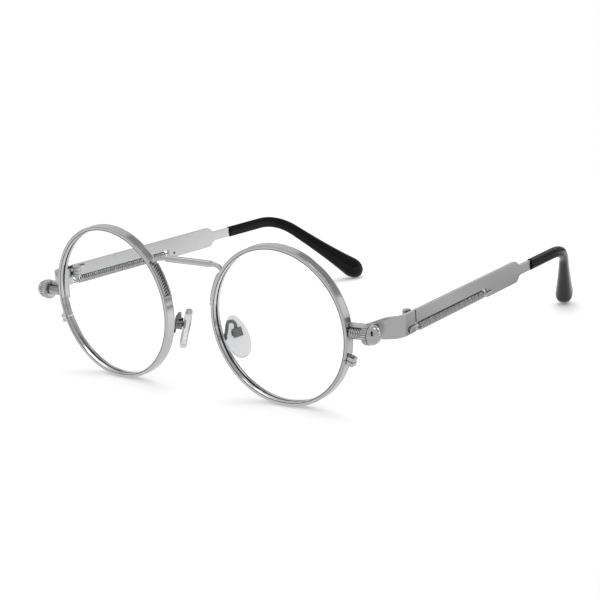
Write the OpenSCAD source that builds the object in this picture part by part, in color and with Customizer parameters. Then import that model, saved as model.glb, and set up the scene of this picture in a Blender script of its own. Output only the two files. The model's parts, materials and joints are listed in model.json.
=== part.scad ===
// Round metal glasses with side bolts, adjustable nose pads and springs along the temples.
// Millimetres. +Z up, the front faces -Y, and +X is the wearer's left. The glasses stand open
// on the bottoms of both rims and both temple tips, with the origin below their middle.

/* [Rims] */
// Outer radius of a rim
rim_r = 25; // [23:0.5:27]
// Radial width of the rim metal
rim_wall = 1.3; // [1.1:0.05:1.7]
// Depth of the rim band, front to back
rim_depth = 3.4; // [3:0.1:3.8]
// Bevel along the edges of the rim
rim_bevel = 0.22; // [0.1:0.02:0.3]
// Depth of the lens groove inside the rim
groove_depth = 0.5; // [0.3:0.05:0.7]
// Width of the lens groove at its mouth
groove_width = 1.1; // [0.8:0.05:1.3]
// Distance between the centres of the rims
rim_spacing = 68.2; // [66:0.5:76]
// Angle by which each rim turns back towards the temple
wrap = 3; // [0:0.5:6]
// Angle by which the top of the front leans forwards
front_lean = 3.3; // [0:0.5:6]

/* [Lenses] */
// Thickness of a lens
lens_t = 1.6; // [1.2:0.1:2]
// Radius of the front curve of a lens
lens_curve = 170; // [130:5:300]
// Gap between a lens and its groove
lens_gap = 0.04; // [0.02:0.01:0.08]

/* [Rim locks] */
// Angle of the rim's split below the middle of the rim
split_angle = 18.5; // [16:0.5:30]
// Width of the split
split_gap = 0.2; // [0.1:0.05:0.5]
// Height of one lock block, along the rim
lock_h = 1.3; // [1.2:0.1:2]
// Reach of a lock block from the rim
lock_reach = 2.2; // [2:0.1:3]
// Depth of a lock block, front to back
lock_depth = 2.3; // [2:0.1:2.6]
// Radius of the lock screw's shaft
lock_screw_r = 0.4; // [0.3:0.05:0.5]
// Radius of the lock screw's head
lock_head_r = 0.7; // [0.6:0.05:0.85]
// Height of the lock screw's head
lock_head_h = 0.3; // [0.3:0.1:0.7]

/* [Bridge] */
// Height of the flat bar of the bridge
bar_h = 2.05; // [1.6:0.1:2.6]
// Depth of the flat bar of the bridge
bar_depth = 1.4; // [1.1:0.1:1.8]
// Thickness of the bridge where it meets the rims
bridge_wire_d = 1.4; // [1.1:0.1:1.8]
// Length over which the flat bar narrows to that thickness
bar_taper = 1.4; // [1:0.1:2]
// Distance of the flat bar behind the middle of the rims' depth
bar_back = 1.1; // [0.8:0.1:1.6]
// Share of the gap between the rims' tops that is flat bar
bar_share = 0.62; // [0.4:0.02:0.7]
// Rise of the flat bar above its ends on the rims
bridge_rise = 1.2; // [0.6:0.1:2]
// Angle on the rim, above its middle, where the bridge lands
bridge_angle = 37.8; // [34:0.5:48]
// Gap between the bridge's wire and the foot beside it
foot_clear = 0.25; // [0.2:0.05:0.5]
// Length of a bridge foot along the rim, in degrees
foot_arc = 26; // [18:0.5:30]
// Thickness of a bridge foot
foot_t = 0.6; // [0.4:0.05:0.8]
// Width of a bridge foot, front to back
foot_w = 2.8; // [2.4:0.1:3]
// Angle between two ribs of the knurled foot
rib_step = 1.5; // [1.2:0.1:2]
// Radius of a rib
rib_r = 0.16; // [0.1:0.02:0.2]

/* [Nose pads] */
// Height of a nose pad
pad_h = 13.7; // [12:0.2:15]
// Width of a nose pad
pad_w = 7.2; // [6.4:0.2:8]
// Thickness of a nose pad
pad_t = 2.5; // [2:0.1:3]
// Distance of the pad's centre inwards from the inner edge of the rim
pad_in = 1.7; // [1:0.1:2.4]
// Distance of the pad's centre behind the front
pad_back = 8.7; // [8:0.1:10]
// Distance of the pad's centre below the middle of the rim
pad_down = 7.8; // [6:0.1:9]
// Angle by which a pad leans in at its top
pad_lean = 18.5; // [12:0.5:24]
// Angle by which a pad turns to face the nose
pad_splay = 39; // [30:1:46]
// Rocking of a pad each way on its pin, in degrees, which sets the room behind it
pad_rock = 8; // [4:1:10]
// Outer width of a pad box
box_w = 2.9; // [2.7:0.1:3.3]
// Height of a pad box
box_h = 2.8; // [2.4:0.1:3.2]
// Depth of a pad box
box_d = 2.3; // [2.1:0.1:2.7]
// Wall of a pad box
box_wall = 0.6; // [0.45:0.05:0.7]
// Distance of the pad box above the pad's centre
box_up = 1.4; // [0.8:0.1:2]
// Radius of the pad's pin
pin_r = 0.42; // [0.35:0.02:0.5]
// Gap between the pin and the boss that turns on it
pin_gap = 0.05; // [0.03:0.01:0.08]
// Gap beside the boss inside its box
boss_gap = 0.1; // [0.06:0.02:0.16]
// Diameter of the pad arm's wire
arm_d = 1.1; // [0.9:0.1:1.3]
// Angle on the rim, below its middle, where the pad arm starts
arm_angle = 17; // [14:0.5:22]

/* [Side bolts] */
// Diameter of the threaded rod
rod_d = 2.9; // [2.6:0.1:3.2]
// Length of thread that shows between the rim and the collar
rod_len = 5.5; // [5:0.1:7]
// Pitch of the thread
thread_pitch = 0.5; // [0.4:0.05:0.7]
// Depth of the thread
thread_depth = 0.18; // [0.1:0.02:0.24]
// Angle of the bolt above the middle of the rim
bolt_angle = 1; // [-2:0.5:3]
// Diameter of the knurled collar
collar_d = 6.3; // [5.6:0.1:6.8]
// Thickness of the collar
collar_t = 2.1; // [1.4:0.1:2.6]
// Number of teeth round the collar
collar_teeth = 26; // [20:1:32]
// Depth of the knurl's teeth
tooth_depth = 0.25; // [0.15:0.05:0.35]
// Radius of the domed cap
cap_r = 3; // [2.6:0.1:3.2]
// Gap between the rod and the collar and cap on it
rod_gap = 0.04; // [0.02:0.01:0.08]

/* [End pieces and hinges] */
// Distance of the hinge joint outwards from the temple side of the rim
hinge_out = 11.8; // [11:0.2:14]
// Distance of the hinge joint behind the front
hinge_back = 19.5; // [18.5:0.1:22]
// Height of the temple's middle above the middle of the rim at the hinge
hinge_up = 1.2; // [0.5:0.1:2.5]
// Angle by which an open temple runs inwards
splay = 5.15; // [3:0.25:7]
// Angle by which an open temple rises towards the back
temple_rise = 0.2; // [-1:0.1:1.5]
// Thickness of the end piece
end_t = 1.1; // [0.9:0.05:1.4]
// Height of the end piece where it meets the rim
end_arm_h = 4.65; // [4:0.05:5.2]
// Length over which the end piece rises to the temple's height
end_rise = 3.1; // [2:0.1:4]
// Height of the end piece's stay, the slim bar over the threaded rod
stay_h = 1.3; // [1:0.1:1.6]
// Depth of the stay, front to back
stay_d = 1.2; // [1:0.1:1.6]
// Gap between the stay and the collar
stay_gap = 0.15; // [0.1:0.05:0.4]
// Radius of the outside of the end piece's bend
end_bend_r = 5; // [4:0.25:6]
// Gap between the end piece and the temple
joint_gap = 0.5; // [0.4:0.05:0.7]
// Distance of the hinge's axis inwards from the outer face
axis_in = 3; // [2.8:0.05:3.3]
// Radius of the hinge's barrel
barrel_r = 1.4; // [1.2:0.05:1.45]
// Height of one of the three knuckles
knuckle_h = 0.95; // [0.8:0.05:1]
// Gap between two knuckles
knuckle_gap = 0.06; // [0.04:0.01:0.1]
// Length of a hinge leaf beyond the barrel
leaf_len = 3.4; // [2.6:0.1:4]
// Thickness of a hinge leaf
leaf_t = 1; // [0.8:0.05:1.1]
// Radius of the hinge screw's shaft
hinge_screw_r = 0.55; // [0.45:0.05:0.65]
// Gap between the hinge screw and the knuckles
hinge_gap = 0.05; // [0.03:0.01:0.08]
// Radius of the hinge screw's head
hinge_head_r = 1.25; // [0.9:0.05:1.3]
// Height of the hinge screw's head
hinge_head_h = 0.6; // [0.4:0.1:0.8]

/* [Temples] */
// Height of the temple plate
temple_h = 6.85; // [6.4:0.05:7.4]
// Thickness of the temple plate
temple_t = 1.1; // [0.9:0.05:1.4]
// Length of the plate from the joint to the shoulder
plate_len = 62.6; // [58:0.2:68]
// Length of the neck between the shoulder and the tip
neck_len = 9.8; // [7:0.2:12]
// Height of the neck
neck_h = 3.1; // [2.8:0.1:3.3]
// Radius of the plate's rear corners
shoulder_r = 1.9; // [1:0.1:2.3]
// Length of the notch that holds the spring
notch_len = 42.7; // [36:0.1:46]
// Height of the notch above the bottom edge
notch_h = 3; // [2.9:0.05:3.2]

/* [Springs] */
// Outer diameter of the coil
coil_d = 2.7; // [2.5:0.05:2.7]
// Diameter of the spring wire
wire_d = 0.48; // [0.4:0.01:0.5]
// Number of curls
curls = 42; // [30:1:42]
// Gap between the temple's front end and the first curl
coil_front = 1.9; // [1.8:0.1:2.4]
// Gap between the last curl and the end of the notch
coil_rear = 2.1; // [1.6:0.1:2.6]
// Radius of the holes that hold the spring's ends
hook_hole_r = 0.42; // [0.38:0.01:0.5]
// Distance of the hole in the end piece from the joint
front_hole = 3.9; // [3.9:0.1:5]
// Distance of the hole in the temple behind the notch
rear_hole = 2.6; // [2:0.1:3.4]

/* [Temple tips] */
// Height of the tip where it starts
tip_h = 3.7; // [3.6:0.1:4.4]
// Thickness of the tip where it starts
tip_t = 2.3; // [2.2:0.1:2.8]
// Length of the tip before its bend
tip_straight = 16; // [13:0.5:20]
// Radius of the tip's bend
tip_bend_r = 20.5; // [16:0.5:24]
// Angle of the tip's bend
tip_bend_angle = 46; // [40:0.5:52]
// Angle by which the bend turns inwards from straight down
tip_in_angle = 30; // [10:1:36]
// Width of the tip near its end
tip_end_w = 7.2; // [6:0.1:8]
// Thickness of the tip near its end
tip_end_t = 6; // [4.6:0.1:6.6]
// How late the tip widens on its way to the end, as a power of its length
tip_widening = 3; // [1:0.1:4]
// How late the tip thickens on its way to the end, as a power of its length
tip_thickening = 1.7; // [1:0.1:4]
// Length over which the end of the tip rounds off
tip_round = 5.2; // [4:0.2:7]
// Diameter of the core wire inside the tip
core_d = 1.3; // [1:0.1:1.6]
// Gap round the temple inside the tip
tip_gap = 0.05; // [0.03:0.01:0.08]

/* [Hidden] */

silver = [0.72, 0.73, 0.75];
bright = [0.80, 0.81, 0.83];
dark_silver = [0.55, 0.56, 0.58];
clear = [0.85, 0.92, 0.95, 0.35];
black = [0.06, 0.06, 0.07];

ring_fn = 128;
pin_fn = 32;
eps = 0.01;
driver_slot = 0.24;

// Rotation of a vector about X, then about Z, and its opposite
function turn_x(p, a) = [p.x, p.y * cos(a) - p.z * sin(a), p.y * sin(a) + p.z * cos(a)];
function turn_y(p, a) = [p.x * cos(a) + p.z * sin(a), p.y, p.z * cos(a) - p.x * sin(a)];
function turn_z(p, a) = [p.x * cos(a) - p.y * sin(a), p.x * sin(a) + p.y * cos(a), p.z];

function unit(v) = v / norm(v);

// Points of an arc that rounds corner b of the path a, b, c with radius r
function corner(a, b, c, r, n) =
    let (u = unit(a - b), w = unit(c - b), half = acos(u * w) / 2, reach = r / tan(half),
         middle = b + unit(u + w) * r / sin(half), from = b + u * reach - middle,
         to = b + w * reach - middle, span = 180 - 2 * half)
    [for (i = [0:n]) middle + (from * sin(span * (1 - i / n)) + to * sin(span * i / n)) / sin(span)];

// A path through the points, with every inner corner rounded
function rounded(pts, r, n) =
    [pts[0], each [for (i = [1:len(pts) - 2]) each corner(pts[i - 1], pts[i], pts[i + 1], r, n)],
     pts[len(pts) - 1]];

// Direction of a path at each of its points
function headings(path) =
    let (last = len(path) - 1)
    [for (i = [0:last]) unit(path[min(i + 1, last)] - path[max(i - 1, 0)])];

// One vector square to the path at each point, carried along without twisting
function carried(dirs, first) =
    [for (i = 0, v = unit(first - (first * dirs[0]) * dirs[0]); i < len(dirs);
          i = i + 1, v = i < len(dirs) ? unit(v - (v * dirs[i]) * dirs[i]) : v) v];

// Point of a rounded oblong at an angle, with half sizes a and b
function oblong(a, b, angle, power) =
    let (c = cos(angle), s = sin(angle))
    [a * sign(c) * pow(abs(c), 2 / power), b * sign(s) * pow(abs(s), 2 / power)];

function swept_points(path, sizes, up, sides, power) =
    let (dirs = headings(path), ups = carried(dirs, up))
    [for (i = [0:len(path) - 1], k = [0:sides - 1])
        let (side = cross(dirs[i], ups[i]),
             q = oblong(sizes[i].x, sizes[i].y, (k + 0.5) * 360 / sides, power))
        path[i] + side * q.x + ups[i] * q.y];

// A closed solid along a path: sizes holds the half width and half height at each point
module swept(path, sizes, up, sides, power = 2) {
    last = (len(path) - 1) * sides;
    faces = concat(
        [for (k = [1:sides - 2]) [0, k + 1, k]],
        [for (k = [1:sides - 2]) [last, last + k, last + k + 1]],
        [for (i = [0:len(path) - 2], k = [0:sides - 1])
            [i * sides + k, (i + 1) * sides + (k + 1) % sides, (i + 1) * sides + k]],
        [for (i = [0:len(path) - 2], k = [0:sides - 1])
            [i * sides + k, i * sides + (k + 1) % sides, (i + 1) * sides + (k + 1) % sides]]);
    polyhedron(swept_points(path, sizes, up, sides, power), faces);
}

module wire(path, d, up, sides = 8) {
    swept(path, [for (p = path) [d / 2, d / 2]], up, sides);
}

// Places of the front, with the middle of the rims' front faces at Y = 0. What sits on a rim
// starts seat_bite inside it and is then cut flat on it.
rim_x = rim_spacing / 2;
rim_z = rim_r * cos(front_lean) - rim_bevel * sin(front_lean);
rim_inner_r = rim_r - rim_wall;
seat_bite = 0.15;
function rim_place(p) = turn_z(turn_x(p, front_lean), wrap) + [rim_x, 0, rim_z];

// Place of the temple frame: X outwards, Y to the back, Z up, on the plate's outer face
temple_x = rim_x + rim_r + hinge_out;
temple_z = rim_z + hinge_up;
temple_at = [temple_x, hinge_back, temple_z];
function temple_place(p) = turn_z(turn_x(p, temple_rise), splay) + temple_at;
function to_temple(p) = turn_x(turn_z(p - temple_at, -splay), -temple_rise);

// Lens
groove_y = rim_depth / 2;
lens_r = rim_inner_r - lens_gap;
lens_sag = lens_curve - sqrt(pow(lens_curve, 2) - pow(lens_r, 2));
lens_apex = groove_y - lens_t / 2 - lens_sag;

// Side bolt, along the rim frame's X
collar_x = rim_r + rod_len;
cap_x = collar_x + collar_t;
rod_end = cap_x + cap_r * 0.55;
bolt_z = rim_r * sin(bolt_angle);
rod_r = rod_d / 2;

// Temple
plate_low = -temple_h / 2;
notch_top = plate_low + notch_h;
hinge_axis = [-axis_in, -joint_gap / 2];
barrel_top = temple_h / 2 - hinge_head_h;
barrel_low = barrel_top - 3 * knuckle_h - 2 * knuckle_gap;

// Spring, along the temple frame's Y
coil_r = (coil_d - wire_d) / 2;
spring_x = -temple_t / 2;
spring_z = plate_low + notch_h / 2 - 0.05;
coil_end = notch_len - coil_rear;
coil_pitch = (coil_end - coil_front) / curls;
hook_x = spring_x + coil_r;
rear_hole_y = notch_len + rear_hole;
front_hole_y = -joint_gap - front_hole;
hook_through = temple_t + 0.5;
lead_in = 0.9;
straight_end = wire_d;
curl_rings = 8;

// Tip, along the temple frame's Y from the end of the neck
tip_start = plate_len + neck_len;
tongue_len = 4;
tongue_step = 0.15;
tongue_root = 1;
tip_mid_x = -temple_t / 2;
bend_y = tip_start + tip_straight;
bend_dir = turn_y([0, 0, -1], tip_in_angle);
function tip_arc(a) =
    [tip_mid_x, bend_y, 0] + tip_bend_r * ([0, sin(a), 0] + bend_dir * (1 - cos(a)));
tip_dir = [0, cos(tip_bend_angle), 0] + bend_dir * sin(tip_bend_angle);
function tip_path(drop) = concat(
    [for (y = [tip_start, tip_start + 0.5, tip_start + tip_straight * 0.4, bend_y - 1.5])
        [tip_mid_x, y, 0]],
    [for (i = [0:8]) tip_arc(tip_bend_angle * i / 8)],
    [for (s = drop_steps) tip_arc(tip_bend_angle) + tip_dir * (drop - tip_round) * s],
    [for (a = round_steps)
        tip_arc(tip_bend_angle) + tip_dir * (drop - tip_round + tip_round * sin(a))]);
drop_steps = [0.16, 0.32, 0.47, 0.62, 0.76, 0.89, 1];
round_steps = [20, 38, 54, 68, 79, 87];
arc_len = tip_bend_r * tip_bend_angle * PI / 180;
function mix(a, b, t) = a * (1 - t) + b * t;
function tip_size(s) =
    [mix(tip_t, tip_end_t, pow(s, tip_thickening)), mix(tip_h, tip_end_w, pow(s, tip_widening))] / 2;
function tip_sizes(drop) = let (whole = arc_len + drop - tip_round) concat(
    [tip_size(0) * 0.93],
    [for (i = [1:3]) tip_size(0)],
    [for (i = [0:8]) tip_size(arc_len * i / 8 / whole)],
    [for (s = drop_steps) tip_size((arc_len + (drop - tip_round) * s) / whole)],
    [for (a = round_steps) [tip_size(1).x * pow(cos(a), 1.35), tip_size(1).y * cos(a)]]);
function tip_points(drop) =
    [for (p = swept_points(tip_path(drop), tip_sizes(drop), [0, 0, 1], 20, 2.4)) temple_place(p)];
function tip_height(drop) = min([for (p = tip_points(drop)) p.z]);
drop_slope = temple_at.z - (temple_place(tip_dir).z);
function settled(drop) = drop + tip_height(drop) / drop_slope;
tip_drop = settled(settled(settled(33)));
echo("height of the tips above the floor, mm", tip_height(tip_drop));

// Middle of the whole depth, which the origin stands below
lean_reach = (rim_r - rim_bevel) * sqrt(pow(sin(wrap), 2) + pow(sin(front_lean) * cos(wrap), 2));
lean_rate = lean_reach / (rim_r - rim_bevel);
lens_reach = -lens_apex + pow(lean_rate, 2) * lens_curve / 2;
front_y = -max(lean_reach, lens_reach);
back_y = max([for (p = tip_points(tip_drop)) p.y]);
middle_y = (front_y + back_y) / 2;

// Nose pad frame: X away from the nose, Z along the pad
pad_at = [rim_x - rim_r + pad_in, pad_back, rim_z - pad_down];
function pad_place(p) = turn_y(turn_z(p, -pad_splay), -pad_lean) + pad_at;
seat_depth = pad_t / 2 * 0.55;
box_clear = 0.35;
pin_play = 0.02;
box_front = pad_t / 2 * 0.62 + box_h / 2 * sin(pad_rock) + box_clear;
box_x = box_front + box_d / 2;
boss_w = box_w - 2 * box_wall - 2 * boss_gap;
boss_r = (box_d - box_wall) / 2 - boss_gap - pin_play;
pin_x = box_front + boss_r + pin_play;
seat_r = 1.5;
seat_t = 0.5;

// Places one side of the glasses: 1 is the right of the photograph, -1 its mirror image
module side(s) {
    translate([0, -middle_y, 0])
        mirror([s < 0 ? 1 : 0, 0, 0])
            children();
}

module in_rim() {
    translate([rim_x, 0, rim_z])
        rotate([front_lean, 0, wrap])
            children();
}

module in_temple() {
    translate(temple_at)
        rotate([temple_rise, 0, splay])
            children();
}

module in_pad() {
    translate(pad_at)
        rotate([0, -pad_lean, 0])
            rotate([0, 0, -pad_splay])
                children();
}

// A solid of revolution round the rim's axis, from radius and depth
module round_rim(profile, angle = 360, fn = ring_fn) {
    rotate([-90, 0, 0])
        rotate_extrude(angle = angle, $fn = fn)
            polygon(profile);
}

// The space inside the rim's outer edge, from ahead of it to its back face
module rim_space() {
    in_rim()
        rotate([-90, 0, 0])
            translate([0, 0, -1])
                cylinder(r = rim_r, h = rim_depth + 1, $fn = ring_fn);
}

module rim() {
    b = rim_bevel;
    g = groove_width / 2;
    color(silver)
        in_rim()
            difference() {
                round_rim([
                    [rim_inner_r, b], [rim_inner_r + b, 0], [rim_r - b, 0], [rim_r, b],
                    [rim_r, rim_depth - b], [rim_r - b, rim_depth], [rim_inner_r + b, rim_depth],
                    [rim_inner_r, rim_depth - b], [rim_inner_r, groove_y + g],
                    [rim_inner_r + groove_depth, groove_y], [rim_inner_r, groove_y - g]]);
                rotate([0, split_angle, 0])
                    translate([rim_inner_r - 1, -1, -split_gap / 2])
                        cube([rim_wall + 2, rim_depth + 2, split_gap]);
            }
}

module lens() {
    g = groove_width / 2 - lens_gap;
    n = 14;
    back_curve = lens_curve - lens_t;
    centre = lens_apex + lens_curve;
    front = [for (i = [0:n]) let (r = lens_r * i / n)
        [r, centre - sqrt(pow(lens_curve, 2) - r * r)]];
    back = [for (i = [n:-1:0]) let (r = lens_r * i / n)
        [r, centre - sqrt(pow(back_curve, 2) - r * r)]];
    edge = [[lens_r, groove_y - g], [lens_r + groove_depth, groove_y], [lens_r, groove_y + g]];
    color(clear)
        in_rim()
            round_rim(concat(front, edge, back));
}

// The two lock blocks close the rim's split: way is 1 above it and -1 below it
module rim_lock(way) {
    color(silver)
        in_rim()
            rotate([0, split_angle, 0])
                difference() {
                    translate([rim_r - 1, (rim_depth - lock_depth) / 2,
                               way > 0 ? split_gap / 2 : -split_gap / 2 - lock_h])
                        cube([lock_reach + 1, lock_depth, lock_h]);
                    rotate([-90, 0, 0])
                        translate([0, 0, -1])
                            cylinder(r = rim_r, h = rim_depth + 2, $fn = ring_fn);
                    translate([rim_r + lock_reach / 2, groove_y, -lock_h - 2])
                        cylinder(r = lock_screw_r + rod_gap, h = 2 * lock_h + 4, $fn = pin_fn);
                }
}

module rim_lock_screw() {
    top = split_gap / 2 + lock_h;
    color(dark_silver)
        in_rim()
            rotate([0, split_angle, 0])
                translate([rim_r + lock_reach / 2, groove_y, 0])
                    difference() {
                        union() {
                            translate([0, 0, -top])
                                cylinder(r = lock_screw_r, h = 2 * top + eps, $fn = pin_fn);
                            translate([0, 0, top])
                                cylinder(r = lock_head_r, h = lock_head_h, $fn = pin_fn);
                        }
                        translate([-lock_head_r - 1, -driver_slot / 2, top + lock_head_h / 2])
                            cube([2 * lock_head_r + 2, driver_slot, lock_head_h]);
                    }
}

// Bridge: a flat bar that narrows to a wire, which lands on each rim
landing = rim_place([-rim_r * cos(bridge_angle), groove_y, rim_r * sin(bridge_angle)]);
bridge_z = landing.z + bridge_rise;
bridge_y = landing.y + bar_back;
bridge_bend_r = 1.6;
bridge_sink = 0.6;
bar_x = landing.x * bar_share;
function bridge_half() = rounded([
    [0, bridge_y, bridge_z],
    [bar_x + bar_taper, bridge_y, bridge_z],
    [landing.x - 1.8, landing.y + bar_back * 0.32, landing.z + bridge_rise * 0.8],
    landing - unit(landing - [rim_x, landing.y, rim_z]) * bridge_sink], bridge_bend_r, 4);
function bar_size(x) =
    let (t = min(1, max(0, (abs(x) - bar_x) / bar_taper)), ease = t * t * (3 - 2 * t))
    mix([bar_depth / 2, bar_h / 2], [bridge_wire_d / 2, bridge_wire_d / 2], ease);

module bridge() {
    right = [for (x = [0, bar_x * 0.5, bar_x * 0.98, bar_x + bar_taper / 4, bar_x + bar_taper / 2])
        [x, bridge_y, bridge_z]];
    half = concat(right, [for (i = [1:len(bridge_half()) - 1]) bridge_half()[i]]);
    left = [for (i = [len(half) - 1:-1:1]) [-half[i].x, half[i].y, half[i].z]];
    path = concat(left, half);
    color(bright)
        translate([0, -middle_y, 0])
            difference() {
                swept(path, [for (p = path) bar_size(p.x)], [0, 0, 1], 16, 2.6);
                for (s = [0, 1])
                    mirror([s, 0, 0])
                        in_rim()
                            rotate([-90, 0, 0])
                                translate([0, 0, -3])
                                    cylinder(r = rim_r, h = rim_depth + 6, $fn = ring_fn);
            }
}

module bridge_foot() {
    start = 180 - bridge_angle + (bridge_wire_d / 2 + foot_clear) / rim_r * 180 / PI;
    ribs = floor((foot_arc - 2) / rib_step);
    y0 = (rim_depth - foot_w) / 2;
    bevel = 0.15;
    inset = 0.2;
    color(dark_silver)
        in_rim() {
            rotate([0, -start, 0])
                mirror([0, 0, 1])
                    round_rim([[rim_r, y0], [rim_r + foot_t, y0 + bevel],
                               [rim_r + foot_t, y0 + foot_w - bevel], [rim_r, y0 + foot_w]], foot_arc);
            for (i = [0:ribs])
                rotate([0, -start - 1 - i * rib_step, 0])
                    translate([rim_r + foot_t, y0 + inset, 0])
                        rotate([-90, 0, 0])
                            cylinder(r = rib_r, h = foot_w - 2 * inset, $fn = 16);
        }
}

// Pad arm: from the back of the rim, up, over and down into the pad box
arm_r = rim_r - rim_wall / 2;
arm_root = rim_place([-arm_r * cos(arm_angle), rim_depth, -arm_r * sin(arm_angle)]);
arm_end = pad_place([box_x, 0, box_up + box_h / 2]);
arm_top = arm_end.z + 2.1;

module pad_arm() {
    path = rounded([
        arm_root + [0, -seat_bite, 0], arm_root + [0.05, 1, 1.2],
        [arm_root.x - 0.2, arm_root.y + 2, arm_top],
        [arm_end.x - 0.85, arm_end.y - 0.15, arm_top + 0.3],
        arm_end], 0.9, 4);
    color(silver)
        difference() {
            union() {
                wire(path, arm_d, [1, 0, 0], 10);
                translate(arm_root + [0, -seat_bite, 0])
                    rotate([-90, 0, 0])
                        cylinder(r1 = arm_d * 0.9, r2 = arm_d * 0.6, h = 1.1 + seat_bite, $fn = pin_fn);
            }
            rim_space();
        }
}

module pad_box() {
    color(silver)
        in_pad()
            difference() {
                translate([box_front, -box_w / 2, box_up - box_h / 2])
                    cube([box_d, box_w, box_h]);
                translate([box_front - 1, -box_w / 2 + box_wall, box_up - box_h / 2 - 1])
                    cube([box_d - box_wall + 1, box_w - 2 * box_wall, box_h + 2 - box_wall - 0.4]);
                translate([pin_x, -box_w, box_up])
                    rotate([-90, 0, 0])
                        cylinder(r = pin_r + pin_play, h = 2 * box_w, $fn = pin_fn);
            }
}

module pad_screw() {
    head_t = 0.4;
    head_r = pin_r + 0.33;
    color(dark_silver)
        in_pad()
            translate([pin_x, -box_w / 2 - head_t, box_up])
                rotate([-90, 0, 0])
                    difference() {
                        union() {
                            cylinder(r = head_r, h = head_t, $fn = pin_fn);
                            translate([0, 0, head_t - eps])
                                cylinder(r = pin_r, h = box_w + eps, $fn = pin_fn);
                        }
                        translate([-head_r - 1, -driver_slot / 2, -1])
                            cube([2 * head_r + 2, driver_slot, 1 + head_t / 2]);
                    }
}

// The pad's insert is a boss on the pad's back, held on the pin
module pad_insert() {
    back = seat_depth;
    color(dark_silver)
        in_pad()
            difference() {
                union() {
                    translate([back, -boss_w / 2, box_up - boss_r])
                        cube([pin_x - back, boss_w, 2 * boss_r]);
                    translate([pin_x, -boss_w / 2, box_up])
                        rotate([-90, 0, 0])
                            cylinder(r = boss_r, h = boss_w, $fn = pin_fn);
                    translate([back, 0, box_up])
                        rotate([0, -90, 0])
                            cylinder(r = seat_r, h = seat_t, $fn = pin_fn);
                }
                translate([pin_x, -box_w, box_up])
                    rotate([-90, 0, 0])
                        cylinder(r = pin_r + pin_gap, h = 2 * box_w, $fn = pin_fn);
            }
}

// Half sizes of the pad at a height: an egg, narrower at the top, with rounded faces
function pad_size(t) =
    let (round_off = sqrt(max(0, 1 - t * t)), face = pow(max(0, 1 - pow(abs(t), 4)), 0.5))
    [pad_t / 2 * face, pad_w / 2 * round_off * (1 - 0.13 * t)];

module nose_pad() {
    heights = [for (a = [-88, -80, -70, -58, -45, -30, -15, 0, 15, 30, 45, 58, 70, 80, 88]) sin(a)];
    color(clear)
        in_pad()
            difference() {
                swept([for (t = heights) [0, 0, t * pad_h / 2]],
                      [for (t = heights) pad_size(t)], [0, 1, 0], 20, 2.3);
                translate([seat_depth + 3, 0, box_up])
                    rotate([0, -90, 0])
                        cylinder(r = seat_r + pin_gap, h = 3 + seat_t + pin_gap, $fn = pin_fn);
            }
}

// Threaded rod, square on the rim's outside
module side_bolt() {
    turns = floor(rod_len / thread_pitch);
    plain = rod_r - thread_depth;
    thread = [for (i = [0:turns - 1]) each [
        [plain, rim_r + i * thread_pitch],
        [rod_r, rim_r + (i + 0.5) * thread_pitch]]];
    profile = concat([[0, rim_r - 0.5], [plain, rim_r - 0.5]], thread,
                     [[plain, rim_r + turns * thread_pitch], [plain, rod_end], [0, rod_end]]);
    color(silver)
        in_rim()
            difference() {
                translate([0, groove_y, bolt_z])
                    rotate([0, 90, 0])
                        rotate_extrude($fn = 48)
                            polygon(profile);
                rotate([-90, 0, 0])
                    translate([0, 0, -1])
                        cylinder(r = rim_r, h = rim_depth + 2, $fn = ring_fn);
            }
}

module bolt_collar() {
    n = collar_teeth;
    outer = collar_d / 2;
    teeth = [for (i = [0:4 * n - 1])
        let (r = i % 4 < 2 ? outer : outer - tooth_depth, a = 360 * i / (4 * n))
        [r * cos(a), r * sin(a)]];
    color(dark_silver)
        in_rim()
            translate([collar_x, groove_y, bolt_z])
                rotate([0, 90, 0])
                    difference() {
                        linear_extrude(collar_t)
                            polygon(teeth);
                        translate([0, 0, -1])
                            cylinder(r = rod_r - thread_depth + rod_gap, h = collar_t + 2, $fn = 48);
                    }
}

module bolt_cap() {
    color(bright)
        in_rim()
            translate([cap_x, groove_y, bolt_z])
                difference() {
                    sphere(r = cap_r, $fn = 96);
                    translate([-2 * cap_r, -cap_r - 1, -cap_r - 1])
                        cube([2 * cap_r, 2 * cap_r + 2, 2 * cap_r + 2]);
                    rotate([0, 90, 0])
                        translate([0, 0, -1])
                            cylinder(r = rod_r - thread_depth + rod_gap,
                                     h = rod_end - cap_x + rod_gap + 1, $fn = 48);
                }
}

// End piece: a bent strip seen from above, cut to its outline seen from the side
end_start = to_temple(rim_place([rim_inner_r + 0.2, rim_depth - seat_bite, 0]));
end_turn = to_temple(rim_place([rim_r + 1.6, rim_depth - seat_bite, 0]));
end_corner = [0, -joint_gap - 7.7];
end_low = plate_low + 0.5;
stay_in = 0.85;

module end_plan() {
    line = [[end_start.x, end_start.y], [end_turn.x, end_turn.y], end_corner, [0, -joint_gap]];
    path = concat([line[0]], corner(line[0], line[1], line[2], 1.5, 4),
                  corner(line[1], line[2], line[3], end_bend_r, 12), [line[3]]);
    last = len(path) - 1;
    normals = [for (i = [0:last])
        let (d = i == last ? [0, 1] : i == 0 ? unit(path[1] - path[0])
                 : unit(path[i + 1] - path[i - 1])) [-d.y, d.x]];
    inside = [for (i = [last:-1:0]) path[i] + normals[i] * end_t];
    polygon(concat(path, inside));
}

module end_outline() {
    front = end_start.y - 2;
    full = end_corner.y - 0.7;
    low = [[front, plate_low + 0.45], [end_corner.y - 1.5, plate_low + 0.2],
           [end_corner.y + 4, end_low], [1, end_low]];
    top = rounded([[1, temple_h / 2], [full, temple_h / 2],
                   [full - end_rise, plate_low + end_arm_h],
                   [front, plate_low + end_arm_h]], 3, 6);
    polygon(concat(low, top));
}

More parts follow.
